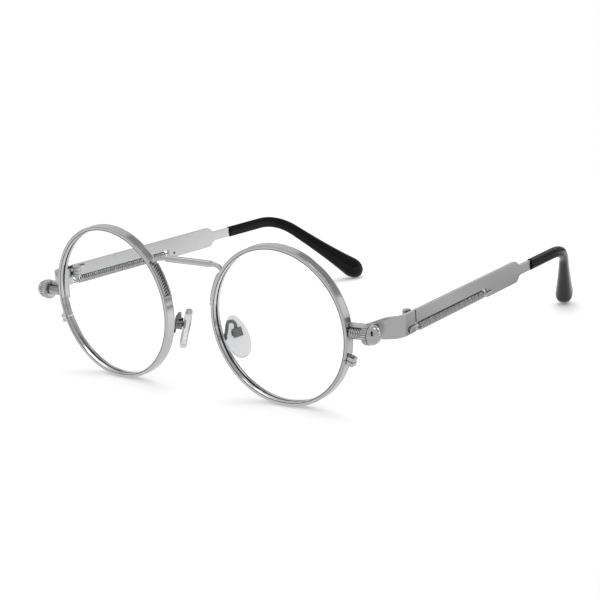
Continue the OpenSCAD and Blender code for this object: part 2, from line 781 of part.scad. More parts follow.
module end_piece() {
    color(silver)
        difference() {
            union() {
                in_temple()
                    intersection() {
                        translate([0, 0, -temple_h])
                            linear_extrude(2 * temple_h)
                                end_plan();
                        translate([10, 0, 0])
                            rotate([90, 0, -90])
                                mirror([1, 0, 0])
                                    linear_extrude(60)
                                        end_outline();
                    }
                in_rim()
                    translate([rim_r - rim_wall, rim_depth - stay_in - stay_d / 2, bolt_z])
                        cube([rim_wall + rod_len - stay_gap, stay_d, rod_r + stay_h]);
            }
            in_temple()
                translate([1, front_hole_y, spring_z])
                    rotate([0, -90, 0])
                        cylinder(r = hook_hole_r, h = end_t + 2, $fn = pin_fn);
            rim_space();
            in_rim()
                translate([0, groove_y, bolt_z])
                    rotate([0, 90, 0])
                        cylinder(r = rod_r + rod_gap, h = collar_x, $fn = 48);
        }
}

hinge_space = 0.3;
hinge_reach = barrel_r + hinge_space;
function knuckle_at(i) = barrel_low + i * (knuckle_h + knuckle_gap);

// One knuckle of the hinge with its arm to a leaf: way is -1 at the front and 1 at the rear
module knuckle(i, way, face) {
    translate([hinge_axis.x, hinge_axis.y, knuckle_at(i)]) {
        difference() {
            union() {
                cylinder(r = barrel_r, h = knuckle_h, $fn = 48);
                translate([0, way > 0 ? 0 : -barrel_r - 2 * hinge_space, 0])
                    cube([axis_in - face, barrel_r + 2 * hinge_space, knuckle_h]);
            }
            translate([0, 0, -1])
                cylinder(r = hinge_screw_r + hinge_gap, h = knuckle_h + 2, $fn = pin_fn);
        }
    }
}

module hinge_front_leaf() {
    color(dark_silver)
        in_temple()
            difference() {
                union() {
                    knuckle(0, -1, end_t);
                    knuckle(2, -1, end_t);
                    translate([-end_t - leaf_t, hinge_axis.y - hinge_reach - leaf_len, barrel_low])
                        cube([leaf_t, leaf_len, knuckle_at(2) + knuckle_h - barrel_low]);
                }
                translate([-axis_in, hinge_axis.y, barrel_low - 1])
                    cylinder(r = hinge_screw_r + hinge_gap, h = 6, $fn = pin_fn);
            }
}

module hinge_rear_leaf() {
    color(dark_silver)
        in_temple() {
            knuckle(1, 1, temple_t);
            translate([-temple_t - leaf_t, hinge_axis.y + hinge_reach, barrel_low])
                cube([leaf_t, leaf_len, knuckle_at(2) + knuckle_h - barrel_low]);
        }
}

module hinge_screw() {
    color(bright)
        in_temple()
            translate([hinge_axis.x, hinge_axis.y, 0])
                difference() {
                    union() {
                        translate([0, 0, barrel_low])
                            cylinder(r = hinge_screw_r, h = barrel_top - barrel_low + eps, $fn = pin_fn);
                        translate([0, 0, barrel_top])
                            cylinder(r = hinge_head_r, h = hinge_head_h, $fn = 48);
                    }
                    translate([-hinge_head_r - 1, -driver_slot / 2, barrel_top + hinge_head_h / 2])
                        cube([2 * hinge_head_r + 2, driver_slot, hinge_head_h]);
                }
}

// Temple: the plate with its notch, the shoulder, the neck, and the core inside the tip
module temple_outline() {
    half = temple_h / 2;
    neck = neck_h / 2;
    top = concat([[0, half]],
                 corner([0, half], [plate_len, half], [plate_len + 2.2, neck], shoulder_r, 6),
                 corner([plate_len, half], [plate_len + 2.2, neck], [tip_start, neck], 1.2, 4),
                 [[tip_start, neck]]);
    low = [for (i = [len(top) - 1:-1:1]) [top[i].x, -top[i].y]];
    polygon(concat(top, low, [[notch_len, -half], [notch_len, notch_top], [0, notch_top]]));
}

module temple() {
    color(silver)
        in_temple() {
            difference() {
                rotate([90, 0, -90])
                    mirror([1, 0, 0])
                        linear_extrude(temple_t)
                            temple_outline();
                translate([1, rear_hole_y, spring_z])
                    rotate([0, -90, 0])
                        cylinder(r = hook_hole_r, h = temple_t + 2, $fn = pin_fn);
            }
            tongue(0);
            core(core_d, 0);
        }
}

// The tongue that the neck ends in, inside the tip
module tongue(gap) {
    translate([-temple_t + tongue_step - gap, tip_start - tongue_root, -neck_h / 2 + tongue_step - gap])
        cube([temple_t - 2 * (tongue_step - gap), tongue_root + tongue_len + gap,
              neck_h - 2 * (tongue_step - gap)]);
}

// The core wire runs straight inside the tip, up to its bend
module core(d, extra) {
    translate([tip_mid_x, tip_start + tongue_len - 1, 0])
        rotate([-90, 0, 0])
            cylinder(r = d / 2, h = tip_straight - tongue_len - 0.5 + extra, $fn = pin_fn);
}

module temple_tip() {
    color(black)
        in_temple()
            difference() {
                swept(tip_path(tip_drop), tip_sizes(tip_drop), [0, 0, 1], 20, 2.4);
                tongue(tip_gap);
                core(core_d + 2 * tip_gap, tip_gap);
            }
}

// Spring: one unbroken wire, from its straight front end through the coil to the rear hook
function coil_point(y, a) = [spring_x + coil_r * cos(a), y, spring_z + coil_r * sin(a)];
spring_path = concat(
    [for (s = [0, 0.5, 1]) coil_point(coil_front - lead_in - straight_end * (1 - s), 90)],
    [for (i = [1:5]) let (t = 1 - i / 6) coil_point(coil_front - lead_in * t * t, 90 * sin(90 * t))],
    [for (i = [0:curls * curl_rings])
        coil_point(coil_front + coil_pitch * i / curl_rings, -360 * i / curl_rings)],
    rounded([
        [hook_x, coil_end + coil_pitch * 0.9, spring_z - 0.35],
        [hook_x, coil_end + coil_pitch * 1.6, spring_z],
        [hook_x, rear_hole_y, spring_z],
        [-hook_through, rear_hole_y, spring_z]], 0.45, 4));

// Least distance between the wire's surface at one place and a curl further on
spring_gap = min([for (i = [0:len(spring_path) - 1],
                       j = [i + curl_rings - 2:min(len(spring_path) - 1, i + 2 * curl_rings)])
    norm(spring_path[i] - spring_path[j])]) - wire_d;
echo("least gap of the spring to itself, mm", spring_gap);

module spring() {
    color(dark_silver)
        in_temple()
            wire(spring_path, wire_d, [0, 0, 1], 6);
}

// The hook leaves the spring's front end, crosses the joint and drops into the end piece
module spring_hook() {
    path = rounded([
        coil_point(coil_front - lead_in - straight_end, 90),
        coil_point(coil_front - lead_in - straight_end - 0.35, 90),
        [hook_x, -joint_gap / 2, spring_z + coil_r],
        [hook_x, front_hole_y + 0.5, spring_z + coil_r * 0.95],
        [hook_x, front_hole_y, spring_z],
        [-hook_through, front_hole_y, spring_z]], 0.4, 3);
    color(dark_silver)
        in_temple()
            wire(path, wire_d, [0, 0, 1], 6);
}

bridge();
side(1) rim();  // rim_right
side(1) lens();  // lens_right
side(1) bridge_foot();  // bridge_foot_right
side(1) pad_arm();  // pad_arm_right
side(1) pad_box();  // pad_box_right
side(1) pad_screw();  // pad_screw_right
side(1) nose_pad();  // nose_pad_right
side(1) pad_insert();  // pad_insert_right
side(1) rim_lock(1);  // rim_lock_upper_right
side(1) rim_lock(-1);  // rim_lock_lower_right
side(1) rim_lock_screw();  // rim_lock_screw_right
side(1) side_bolt();  // side_bolt_right
side(1) bolt_collar();  // bolt_collar_right
side(1) bolt_cap();  // bolt_cap_right
side(1) end_piece();  // end_piece_right
side(1) hinge_front_leaf();  // hinge_front_leaf_right
side(1) hinge_rear_leaf();  // hinge_rear_leaf_right
side(1) hinge_screw();  // hinge_screw_right
side(1) temple();  // temple_right
side(1) temple_tip();  // temple_tip_right
side(1) spring();  // spring_right
side(1) spring_hook();  // spring_hook_right
side(-1) rim();  // rim_left
side(-1) lens();  // lens_left
side(-1) bridge_foot();  // bridge_foot_left
side(-1) pad_arm();  // pad_arm_left
side(-1) pad_box();  // pad_box_left
side(-1) pad_screw();  // pad_screw_left
side(-1) nose_pad();  // nose_pad_left
side(-1) pad_insert();  // pad_insert_left
side(-1) rim_lock(1);  // rim_lock_upper_left
side(-1) rim_lock(-1);  // rim_lock_lower_left
side(-1) rim_lock_screw();  // rim_lock_screw_left
side(-1) side_bolt();  // side_bolt_left
side(-1) bolt_collar();  // bolt_collar_left
side(-1) bolt_cap();  // bolt_cap_left
side(-1) end_piece();  // end_piece_left
side(-1) hinge_front_leaf();  // hinge_front_leaf_left
side(-1) hinge_rear_leaf();  // hinge_rear_leaf_left
side(-1) hinge_screw();  // hinge_screw_left
side(-1) temple();  // temple_left
side(-1) temple_tip();  // temple_tip_left
side(-1) spring();  // spring_left
side(-1) spring_hook();  // spring_hook_left
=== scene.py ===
"""Looks of the round metal glasses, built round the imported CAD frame.

Lengths in this file are millimetres in the frames of part.scad, and place() turns them into
metres in the row frame. "right" is the right of the photograph, and "left" its mirror image.
"""

import json
import math

import bmesh
import bpy
from mathutils import Matrix, Vector


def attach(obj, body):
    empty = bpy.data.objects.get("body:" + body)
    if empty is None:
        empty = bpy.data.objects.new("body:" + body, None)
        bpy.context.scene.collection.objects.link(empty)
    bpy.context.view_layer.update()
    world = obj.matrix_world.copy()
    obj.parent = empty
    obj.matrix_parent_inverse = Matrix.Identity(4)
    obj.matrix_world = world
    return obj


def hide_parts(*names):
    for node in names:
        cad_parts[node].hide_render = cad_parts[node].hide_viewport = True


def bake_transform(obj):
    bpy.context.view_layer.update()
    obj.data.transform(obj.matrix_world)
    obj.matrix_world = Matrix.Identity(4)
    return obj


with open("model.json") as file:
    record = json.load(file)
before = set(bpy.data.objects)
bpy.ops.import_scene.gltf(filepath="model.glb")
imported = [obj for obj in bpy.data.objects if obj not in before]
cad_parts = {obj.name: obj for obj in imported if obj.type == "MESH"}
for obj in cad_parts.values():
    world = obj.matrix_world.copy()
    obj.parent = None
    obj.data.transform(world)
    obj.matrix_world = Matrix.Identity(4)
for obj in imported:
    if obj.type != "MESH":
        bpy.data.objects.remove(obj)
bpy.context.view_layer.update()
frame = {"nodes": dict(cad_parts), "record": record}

MM = 0.001
SIDES = {"right": 1, "left": -1}

# Rims and lenses
RIM_R = 25.0
RIM_WALL = 1.3
RIM_DEPTH = 3.4
RIM_EDGE = 0.22
GROOVE_DEPTH = 0.5
GROOVE_WIDTH = 1.1
RIM_SPACING = 68.2
WRAP = 3.0
FRONT_LEAN = 3.3
LENS_T = 1.6
LENS_CURVE = 170.0
LENS_GAP = 0.04
LENS_RINGS = 14
LENS_STEPS = 160
RIDGE_SHARE = 0.96
RIDGE_HALF = 0.03
SPLIT_ANGLE = 18.5
SPLIT_GAP = 0.2
NEARLY_ROUND = 359.999

# The rim's section: its front lip, the fine line outside the lip, and the sunk outer wall
LIP_W = 0.12
LIP_ROUND = 0.03
LIP_DEPTHS = (0.14, 0.05, 0.04, 0.08)
LINE_END = 0.3
LINE_WALL = 0.02
LINE_DEPTH = 0.26
LINE_EDGE = 0.06
FLAT_EASE = 0.01
FLAT_SUPPORT = 0.04
EDGE_CUT = 0.3
WALL_SINK = 0.06
WALL_STEPS = (0.12, 0.2, 0.26)

# Bridge and feet
BAR_H = 2.05
BAR_DEPTH = 1.4
BRIDGE_WIRE_D = 1.4
BAR_BACK = 1.1
BAR_SHARE = 0.62
BRIDGE_RISE = 1.2
BRIDGE_ANGLE = 37.8
BAR_STEP = 1.0
BAR_POWER = 3.4
WIRE_SHARE = 0.94
FOOT_CLEAR = 0.25
FOOT_ARC = 26.0
FOOT_T = 0.6
FOOT_W = 2.8
KNURL_H = 0.16
FOOT_RIB = 0.86

# The bands of the foot: how deep they go, and where they lie as shares of its width from the
# front, or of its length from the bridge
FOOT_SUNK = 0.03
FOOT_FLANK = 0.04
FOOT_TAIL = 0.02
FOOT_BANDS_END = 0.9
RIBS_END = 0.46
RIB_SLANT = 0.5
RIB_DEPTH = 0.4
RIB_SINK = 0.05
BEAD_AT = 0.53
BEAD_END = 0.6
LONG_GROOVE_AT = 0.68
LONG_GROOVE_DEPTH = 0.5
BAND_HALF = 0.07
CROSS_GROOVE_AT = 0.92
CROSS_GROOVE_HALF = 0.022
CROSS_GROOVE_DEPTH = 0.42

# Nose pads
PAD_H = 13.7
PAD_W = 7.2
PAD_T = 2.5
PAD_IN = 1.7
PAD_BACK = 8.7
PAD_DOWN = 7.8
PAD_LEAN = 18.5
PAD_SPLAY = 39.0
PAD_ROCK = 8.0
PAD_FACE_SHARE = 0.62
PAD_ENDS_POWER = 14
PAD_POWER = 3.0
PAD_TAPER = 0.13
DISH_DEPTH = 0.95
DISH_SLOPE = 0.6
DISH_R = 2.3
BOX_CLEAR = 0.35
BOX_H = 2.8
BOX_D = 2.3
BOX_UP = 1.4
ARM_D = 1.1
ARM_ANGLE = 17.0
ARM_RISE = 2.1
SOLDER_RADII = (0.95, 0.72)
SOLDER_FLATNESS = 0.75

# Side bolts
ROD_D = 2.9
ROD_LEN = 5.5
THREAD_PITCH = 0.6
THREAD_DEPTH = 0.24
THREAD_SHARPNESS = 1.3
THREAD_FADE = 0.4
BOLT_ANGLE = 1.0
COLLAR_D = 6.3
COLLAR_T = 2.1
COLLAR_TEETH = 26
TOOTH_DEPTH = 0.25
TOOTH_STEPS = 12
CAP_R = 3.0
CAP_FOOT_H = 0.12
CAP_FOOT_IN = 0.14

# Temples, springs and tips
HINGE_OUT = 11.8
HINGE_BACK = 19.5
HINGE_UP = 1.2
SPLAY = 5.15
TEMPLE_RISE = 0.2
JOINT_GAP = 0.5
AXIS_IN = 3.0
TEMPLE_H = 6.85
TEMPLE_T = 1.1
PLATE_LEN = 62.6
NECK_LEN = 9.8
NOTCH_LEN = 42.7
NOTCH_H = 3.0
COIL_D = 2.7
SPRING_WIRE = 0.52
HOOK_WIRE = 0.46
CURLS = 44
COIL_FRONT = 1.9
COIL_REAR = 2.1
FRONT_HOLE = 3.9
REAR_HOLE = 2.6
TIP_H = 3.7
TIP_T = 2.3
TIP_STRAIGHT = 16.0
TIP_BEND_R = 20.5
TIP_BEND_ANGLE = 46.0
TIP_IN_ANGLE = 30.0
TIP_END_W = 7.2
TIP_END_T = 6.0
TIP_WIDENING = 3.0
TIP_THICKENING = 1.7
TIP_ROUND = 5.2
TIP_POWER = 2.4
TIP_FLOOR_GAP = 0.03
TIP_FLOOR_TOLERANCE = 0.002

# Meshes and edges
SHARP_ANGLE = 38
EASED_ANGLE = 32
FLAT_ANGLE = 1.0
MERGE_DISTANCE = 0.002

# The camera, fitted to the photograph
CAMERA_AZIMUTH = 39.69
CAMERA_ELEVATION = 14.10
CAMERA_ROLL = -3.82
CAMERA_DISTANCE = 578.2
CAMERA_TARGET = (43.86, 0.0, 34.13)
CAMERA_LENS = 119.0
CAMERA_SHIFT = (-0.0013, 0.0007)


# Places

def turn(angle, axis):
    return Matrix.Rotation(math.radians(angle), 4, axis)


def sine(angle):
    return math.sin(math.radians(angle))


def cosine(angle):
    return math.cos(math.radians(angle))


RIM_X = RIM_SPACING / 2
RIM_Z = RIM_R * cosine(FRONT_LEAN) - RIM_EDGE * sine(FRONT_LEAN)
RIM_INNER_R = RIM_R - RIM_WALL
GROOVE_Y = RIM_DEPTH / 2
IN_RIM = Matrix.Translation((RIM_X, 0, RIM_Z)) @ turn(WRAP, "Z") @ turn(FRONT_LEAN, "X")

TEMPLE_AT = Vector((RIM_X + RIM_R + HINGE_OUT, HINGE_BACK, RIM_Z + HINGE_UP))
IN_TEMPLE = Matrix.Translation(TEMPLE_AT) @ turn(SPLAY, "Z") @ turn(TEMPLE_RISE, "X")

PAD_AT = Vector((RIM_X - RIM_R + PAD_IN, PAD_BACK, RIM_Z - PAD_DOWN))
IN_PAD = Matrix.Translation(PAD_AT) @ turn(-PAD_LEAN, "Y") @ turn(-PAD_SPLAY, "Z")

IN_FRONT = Matrix.Identity(4)

# The hinge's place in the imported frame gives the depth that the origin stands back
JOINTS = {joint["name"]: joint for joint in frame["record"]["behaviour"]["joints"]}
HINGE_Y = (IN_TEMPLE @ Vector((-AXIS_IN, -JOINT_GAP / 2, 0))).y
MIDDLE_Y = HINGE_Y - JOINTS["temple_right_fold"]["pos_m"][1] / MM
TO_METRES = Matrix.Scale(MM, 4) @ Matrix.Translation((0, -MIDDLE_Y, 0))


def place(local, side):
    """Matrix from a local frame of one side, in millimetres, to the row frame in metres."""
    return Matrix.Diagonal((SIDES[side], 1, 1, 1)) @ TO_METRES @ local


# Shapes

def add_piece(name, bm, matrix, material, body, nodes=()):
    """Turns a bmesh into a smooth-shaded object that rides on a body."""
    bmesh.ops.transform(bm, matrix=matrix, verts=bm.verts)
    bmesh.ops.recalc_face_normals(bm, faces=bm.faces)
    mesh = bpy.data.meshes.new(name)
    bm.to_mesh(mesh)
    bm.free()
    mesh.shade_smooth()
    mesh.set_sharp_from_angle(angle=math.radians(SHARP_ANGLE))
    obj = bpy.data.objects.new(name, mesh)
    bpy.context.scene.collection.objects.link(obj)
    mesh.materials.append(material)
    if body:
        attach(obj, body)
    if nodes:
        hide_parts(*nodes)
    return obj


def join_rings(bm, rings, capped=True, looped=False):
    """Faces between successive rings of vertices."""
    count = len(rings[0])
    spans = len(rings) if looped else len(rings) - 1
    for i in range(spans):
        a, b = rings[i], rings[(i + 1) % len(rings)]
        for k in range(count):
            n = (k + 1) % count
            bm.faces.new((a[k], a[n], b[n], b[k]))
    if capped and not looped:
        bm.faces.new(rings[0])
        bm.faces.new(rings[-1])


def round_ring(bm, radius, depth, count):
    """A ring of vertices about Y."""
    return [bm.verts.new((radius * math.cos(math.tau * k / count), depth,
                          -radius * math.sin(math.tau * k / count))) for k in range(count)]


def oblong(a, b, angle, power):
    """A point of an oblong outline, which is an ellipse at power 2 and squarer above it."""
    c, s = math.cos(angle), math.sin(angle)
    return (a * math.copysign(abs(c) ** (2 / power), c),
            b * math.copysign(abs(s) ** (2 / power), s))


def sweep(path, sizes, up, sides, power=2.0):
    """A closed tube along a path; sizes holds the half width and half height at each point."""
    bm = bmesh.new()
    last = len(path) - 1
    ups = Vector(up)
    rings = []
    for i, point in enumerate(path):
        heading = (path[min(i + 1, last)] - path[max(i - 1, 0)]).normalized()
        ups = (ups - ups.dot(heading) * heading).normalized()
        across = heading.cross(ups)
        ring = []
        for k in range(sides):
            a, b = oblong(*sizes[i], (k + 0.5) * math.tau / sides, power)
            ring.append(bm.verts.new(point + across * a + ups * b))
        rings.append(ring)
    join_rings(bm, rings)
    return bm


def wire(path, diameter, sides=12):
    """A round wire with its ends rounded off."""
    start = (path[0] - path[1]).normalized()
    end = (path[-1] - path[-2]).normalized()
    r = diameter / 2
    steps = (0.98, 0.8, 0.5)
    path = ([path[0] + start * r * 0.5 * s for s in steps] + list(path)
            + [path[-1] + end * r * 0.5 * s for s in reversed(steps)])
    ends = [r * math.sqrt(1 - s * s) for s in steps]
    radii = ends + [r] * (len(path) - 2 * len(steps)) + ends[::-1]
    return sweep(path, [(q, q) for q in radii], (0, 0, 1), sides)


def revolve(profile, steps, start=0.0, arc=360.0, wobble=None):
    """Turns a closed profile of (radius, depth) points about Y, from an angle below the middle."""
    bm = bmesh.new()
    full = arc >= 360.0
    rings = []
    for i in range(steps if full else steps + 1):
        angle = math.radians(start + arc * i / steps)
        ring = []
        for k, (radius, depth) in enumerate(profile):
            extra = wobble(i, k) if wobble else 0.0
            ring.append(bm.verts.new(((radius + extra) * math.cos(angle), depth,
                                      -(radius + extra) * math.sin(angle))))
        rings.append(ring)
    join_rings(bm, rings, looped=full)
    return bm


def smooth_path(points, steps):
    """A Catmull-Rom curve through the points."""
    points = [Vector(p) for p in points]
    ends = [2 * points[0] - points[1]] + points + [2 * points[-1] - points[-2]]
    path = []
    for i in range(1, len(ends) - 2):
        a, b, c, d = ends[i - 1:i + 3]
        for k in range(steps):
            t = k / steps
            path.append(0.5 * (2 * b + (c - a) * t + (2 * a - 5 * b + 4 * c - d) * t ** 2
                               + (3 * b - a - 3 * c + d) * t ** 3))
    return path + [points[-1]]


def ease(t):
    """0 to 1 with level ends."""
    t = min(1.0, max(0.0, t))
    return t * t * (3 - 2 * t)


def mix(a, b, t):
    return tuple(p * (1 - t) + q * t for p, q in zip(a, b))


# Materials

# Scales of the noises, per metre
WEAR_SCALE = 260
GRAIN_SCALE = 5200
SMEAR_SCALE = 90
PLASTIC_SMEAR_SCALE = 140
PLASTIC_GRAIN_SCALE = 2600
PAPER_SCALE = 400

# Heights of the bumps and radii of the edges, in metres, and strengths of the bumps
GRAIN_HEIGHT = 0.000004
SMEAR_HEIGHT = 0.00003
METAL_GRAIN = 0.05
PLASTIC_GRAIN = 0.03
GLASS_SMEAR = 0.08
ROUNDING = 0.00008
FINE_ROUNDING = 0.00006

# Openness of a corner at which the painted shade starts to fade and has gone
PAINTED_SHADE_RANGE = (0.3, 0.9)

STEEL = (0.68, 0.68, 0.69)
WORN_SHADE = (0.93, 0.93, 0.935)


def node_tree(name):
    material = bpy.data.materials.new(name)
    material.use_nodes = True
    nodes = material.node_tree.nodes
    return material, nodes, material.node_tree.links, nodes["Principled BSDF"]


def noise_node(nodes, links, coords, scale, detail, stretch=None):
    noise = nodes.new("ShaderNodeTexNoise")
    noise.inputs["Scale"].default_value = scale
    noise.inputs["Detail"].default_value = detail
    if stretch:
        mapping = nodes.new("ShaderNodeMapping")
        mapping.inputs["Scale"].default_value = stretch
        links.new(coords, mapping.inputs["Vector"])
        coords = mapping.outputs["Vector"]
    links.new(coords, noise.inputs["Vector"])
    return noise.outputs["Fac"]


def ranged(nodes, links, value, low, high, from_low=0.3, from_high=0.7):
    node = nodes.new("ShaderNodeMapRange")
    node.inputs["From Min"].default_value = from_low
    node.inputs["From Max"].default_value = from_high
    node.inputs["To Min"].default_value = low
    node.inputs["To Max"].default_value = high
    links.new(value, node.inputs["Value"])
    return node.outputs["Result"]


def blended(nodes, links, factor, low, high):
    node = nodes.new("ShaderNodeMix")
    node.data_type = "RGBA"
    node.inputs["A"].default_value = (*low, 1)
    node.inputs["B"].default_value = (*high, 1)
    links.new(factor, node.inputs["Factor"])
    return node.outputs["Result"]


def bumped(nodes, links, shader, height, distance, strength, rounding=None):
    bump = nodes.new("ShaderNodeBump")
    bump.inputs["Distance"].default_value = distance
    bump.inputs["Strength"].default_value = strength
    links.new(height, bump.inputs["Height"])
    if rounding:
        bevel = nodes.new("ShaderNodeBevel")
        bevel.samples = 4
        bevel.inputs["Radius"].default_value = rounding
        links.new(bevel.outputs["Normal"], bump.inputs["Normal"])
    links.new(bump.outputs["Normal"], shader.inputs["Normal"])


def metal(name, light, dark, smoothest, roughest, grain=(1, 1, 1), rounding=None, reach=0.5,
          alone=False):
    """Steel with painted shade in its corners, a worn grain, and roughness that wanders a little.

    The painted shade darkens the colour where another face is within reach, in millimetres;
    where the piece is taken alone, only a face of its own.
    """
    material, nodes, links, shader = node_tree(name)
    coords = nodes.new("ShaderNodeTexCoord").outputs["Object"]
    wear = noise_node(nodes, links, coords, WEAR_SCALE, 4)
    scratches = noise_node(nodes, links, coords, GRAIN_SCALE, 3, grain)
    # Painted shade: ambient occlusion darkens the base colour in corners and between parts
    corners = nodes.new("ShaderNodeAmbientOcclusion")
    corners.samples = 8
    corners.only_local = alone
    corners.inputs["Distance"].default_value = reach * MM
    shade = ranged(nodes, links, corners.outputs["AO"], 0.0, 1.0, *PAINTED_SHADE_RANGE)
    tint = blended(nodes, links, shade, dark, light)
    worn = nodes.new("ShaderNodeMix")
    worn.data_type = "RGBA"
    worn.blend_type = "MULTIPLY"
    worn.inputs["Factor"].default_value = 1.0
    links.new(tint, worn.inputs["A"])
    shades = blended(nodes, links, wear, WORN_SHADE, (1.0, 1.0, 1.0))
    links.new(shades, worn.inputs["B"])
    links.new(worn.outputs["Result"], shader.inputs["Base Color"])
    links.new(ranged(nodes, links, scratches, smoothest, roughest), shader.inputs["Roughness"])
    shader.inputs["Metallic"].default_value = 1.0
    bumped(nodes, links, shader, scratches, GRAIN_HEIGHT, METAL_GRAIN, rounding)
    return material


def glassy(name, tint, roughness, ior, cloud, clear):
    """Glass or silicone with a faint clouding; clear is the share of light let through."""
    material, nodes, links, shader = node_tree(name)
    coords = nodes.new("ShaderNodeTexCoord").outputs["Object"]
    smear = noise_node(nodes, links, coords, SMEAR_SCALE, 3)
    faded = tuple(c * cloud for c in tint)
    links.new(blended(nodes, links, smear, faded, tint), shader.inputs["Base Color"])
    links.new(ranged(nodes, links, smear, roughness * 0.6, roughness), shader.inputs["Roughness"])
    shader.inputs["Transmission Weight"].default_value = clear
    shader.inputs["IOR"].default_value = ior
    bumped(nodes, links, shader, smear, SMEAR_HEIGHT, GLASS_SMEAR)
    return material


def acetate(name):
    """Glossy black plastic with a faint depth and a few soft smears."""
    material, nodes, links, shader = node_tree(name)
    coords = nodes.new("ShaderNodeTexCoord").outputs["Object"]
    smear = noise_node(nodes, links, coords, PLASTIC_SMEAR_SCALE, 4)
    grain = noise_node(nodes, links, coords, PLASTIC_GRAIN_SCALE, 3)
    links.new(blended(nodes, links, smear, (0.003, 0.003, 0.0035), (0.006, 0.006, 0.0065)),
              shader.inputs["Base Color"])
    links.new(ranged(nodes, links, smear, 0.1, 0.17), shader.inputs["Roughness"])
    bumped(nodes, links, shader, grain, GRAIN_HEIGHT, PLASTIC_GRAIN)
    shader.inputs["IOR"].default_value = 1.4
    shader.inputs["Specular IOR Level"].default_value = 0.2
    return material


# The dark colour given to each metal is painted shade, laid into its corners by ambient occlusion
POLISHED = metal("polished_metal", STEEL, (0.05, 0.05, 0.05), 0.1, 0.15,
                 rounding=ROUNDING)
BAND = metal("rim_metal", STEEL, (0.12, 0.12, 0.12), 0.1, 0.15,
             rounding=ROUNDING, reach=0.4, alone=True)
SATIN = metal("satin_metal", (0.69, 0.69, 0.695), (0.04, 0.04, 0.04), 0.22, 0.26, (1, 0.08, 1),
              rounding=ROUNDING, reach=0.9)
KNURLED = metal("knurled_metal", (0.62, 0.62, 0.625), (0.01, 0.01, 0.01), 0.12, 0.2, reach=0.3)
THREADED = metal("threaded_metal", STEEL, (0.01, 0.01, 0.01), 0.1, 0.16, reach=0.9)
SCREW = metal("screw_metal", (0.6, 0.6, 0.61), (0.015, 0.015, 0.015), 0.12, 0.2,
              rounding=FINE_ROUNDING, reach=0.9)
# Pad box, screws and arm: steel painted darker than it is, as painted shade for the dark
# reflections on them
PAINTED_DARK_PAD_METAL = metal("pad_metal_painted_dark", (0.3, 0.3, 0.305), (0.01, 0.01, 0.01), 0.08, 0.12,
               rounding=FINE_ROUNDING, reach=1.0)
SPRING = metal("spring_wire", (0.68, 0.68, 0.68), (0.01, 0.01, 0.01), 0.24, 0.32, reach=0.6)
LENS = glassy("lens_glass", (0.99, 0.995, 0.995), 0.01, 1.12, 0.995, 1.0)
SILICONE = glassy("pad_silicone", (0.82, 0.82, 0.835), 0.06, 1.36, 0.97, 0.76)
PLASTIC = acetate("tip_plastic")


# The front

def make_rim(side):
    """Rim band with rounded lips, a fine line inside the front lip, and the lens groove.

    Points close beside each flat face keep it flat under smooth shading.
    """
    inner, outer, back = RIM_INNER_R, RIM_R, RIM_DEPTH
    lip, line, sunk = inner + LIP_W, inner + LINE_END, outer - WALL_SINK
    e, cut, near = RIM_EDGE, RIM_EDGE * EDGE_CUT, FLAT_SUPPORT
    crest, foot, flat = WALL_STEPS
    lip_start, lip_in, lip_out, lip_end = LIP_DEPTHS
    g = GROOVE_WIDTH / 2
    section = [
        (inner, lip_start), (inner + LIP_ROUND, lip_in), (lip - LIP_ROUND, lip_out),
        (lip, lip_end), (lip + LINE_WALL, LINE_DEPTH), (line - LINE_WALL, LINE_DEPTH),
        (line, LINE_EDGE), (line + near, FLAT_EASE), (line + 2 * near, 0),
        (outer - e - near, 0), (outer - e, FLAT_EASE), (outer - cut, cut), (outer, e),
        (outer, e + crest), (sunk, e + foot), (sunk, e + flat),
        (sunk, back - e - flat), (sunk, back - e - foot), (outer, back - e - crest),
        (outer, back - e), (outer - cut, back - cut), (outer - e, back),
        (outer - e - near, back), (inner + e + near, back), (inner + e, back),
        (inner + cut, back - cut), (inner, back - e), (inner, back - e - near),
        (inner, GROOVE_Y + g + LIP_ROUND), (inner, GROOVE_Y + g),
        (inner + GROOVE_DEPTH, GROOVE_Y), (inner, GROOVE_Y - g)]
    half_gap = math.degrees(SPLIT_GAP / 2 / RIM_R)
    bm = revolve(section, 288, SPLIT_ANGLE + half_gap, NEARLY_ROUND - 2 * half_gap)
    return add_piece(f"rim_band_{side}", bm, place(IN_RIM, side), BAND, "front",
                     [f"rim_{side}"])


def make_lens(side):
    """A thin curved lens whose edge is a low ridge in the rim's groove."""
    radius = RIM_INNER_R - LENS_GAP
    sag = LENS_CURVE - math.sqrt(LENS_CURVE ** 2 - radius ** 2)
    apex = GROOVE_Y - LENS_T / 2 - sag
    centre = apex + LENS_CURVE
    back_curve = LENS_CURVE - LENS_T
    g = GROOVE_WIDTH / 2 - LENS_GAP
    radii = [radius * i / LENS_RINGS for i in range(1, LENS_RINGS + 1)]
    front = [(r, centre - math.sqrt(LENS_CURVE ** 2 - r * r)) for r in radii]
    back = [(r, centre - math.sqrt(back_curve ** 2 - r * r)) for r, _ in reversed(front)]
    ridge = radius + GROOVE_DEPTH * RIDGE_SHARE
    edge = [(radius, GROOVE_Y - g), (ridge, GROOVE_Y - RIDGE_HALF),
            (ridge, GROOVE_Y + RIDGE_HALF), (radius, GROOVE_Y + g)]
    bm = bmesh.new()
    turned = [round_ring(bm, r, y, LENS_STEPS) for r, y in front + edge + back]
    join_rings(bm, turned, capped=False)
    for ring, depth in ((turned[0], apex), (turned[-1], apex + LENS_T)):
        middle = bm.verts.new((0, depth, 0))
        for k in range(LENS_STEPS):
            bm.faces.new((ring[k], ring[(k + 1) % LENS_STEPS], middle))
    return add_piece(f"lens_glass_{side}", bm, place(IN_RIM, side), LENS, "front",
                     [f"lens_{side}"])


LANDING = IN_RIM @ Vector((-RIM_R * cosine(BRIDGE_ANGLE), GROOVE_Y, RIM_R * sine(BRIDGE_ANGLE)))
BRIDGE_Z = LANDING.z + BRIDGE_RISE
BRIDGE_Y = LANDING.y + BAR_BACK
BAR_X = LANDING.x * BAR_SHARE


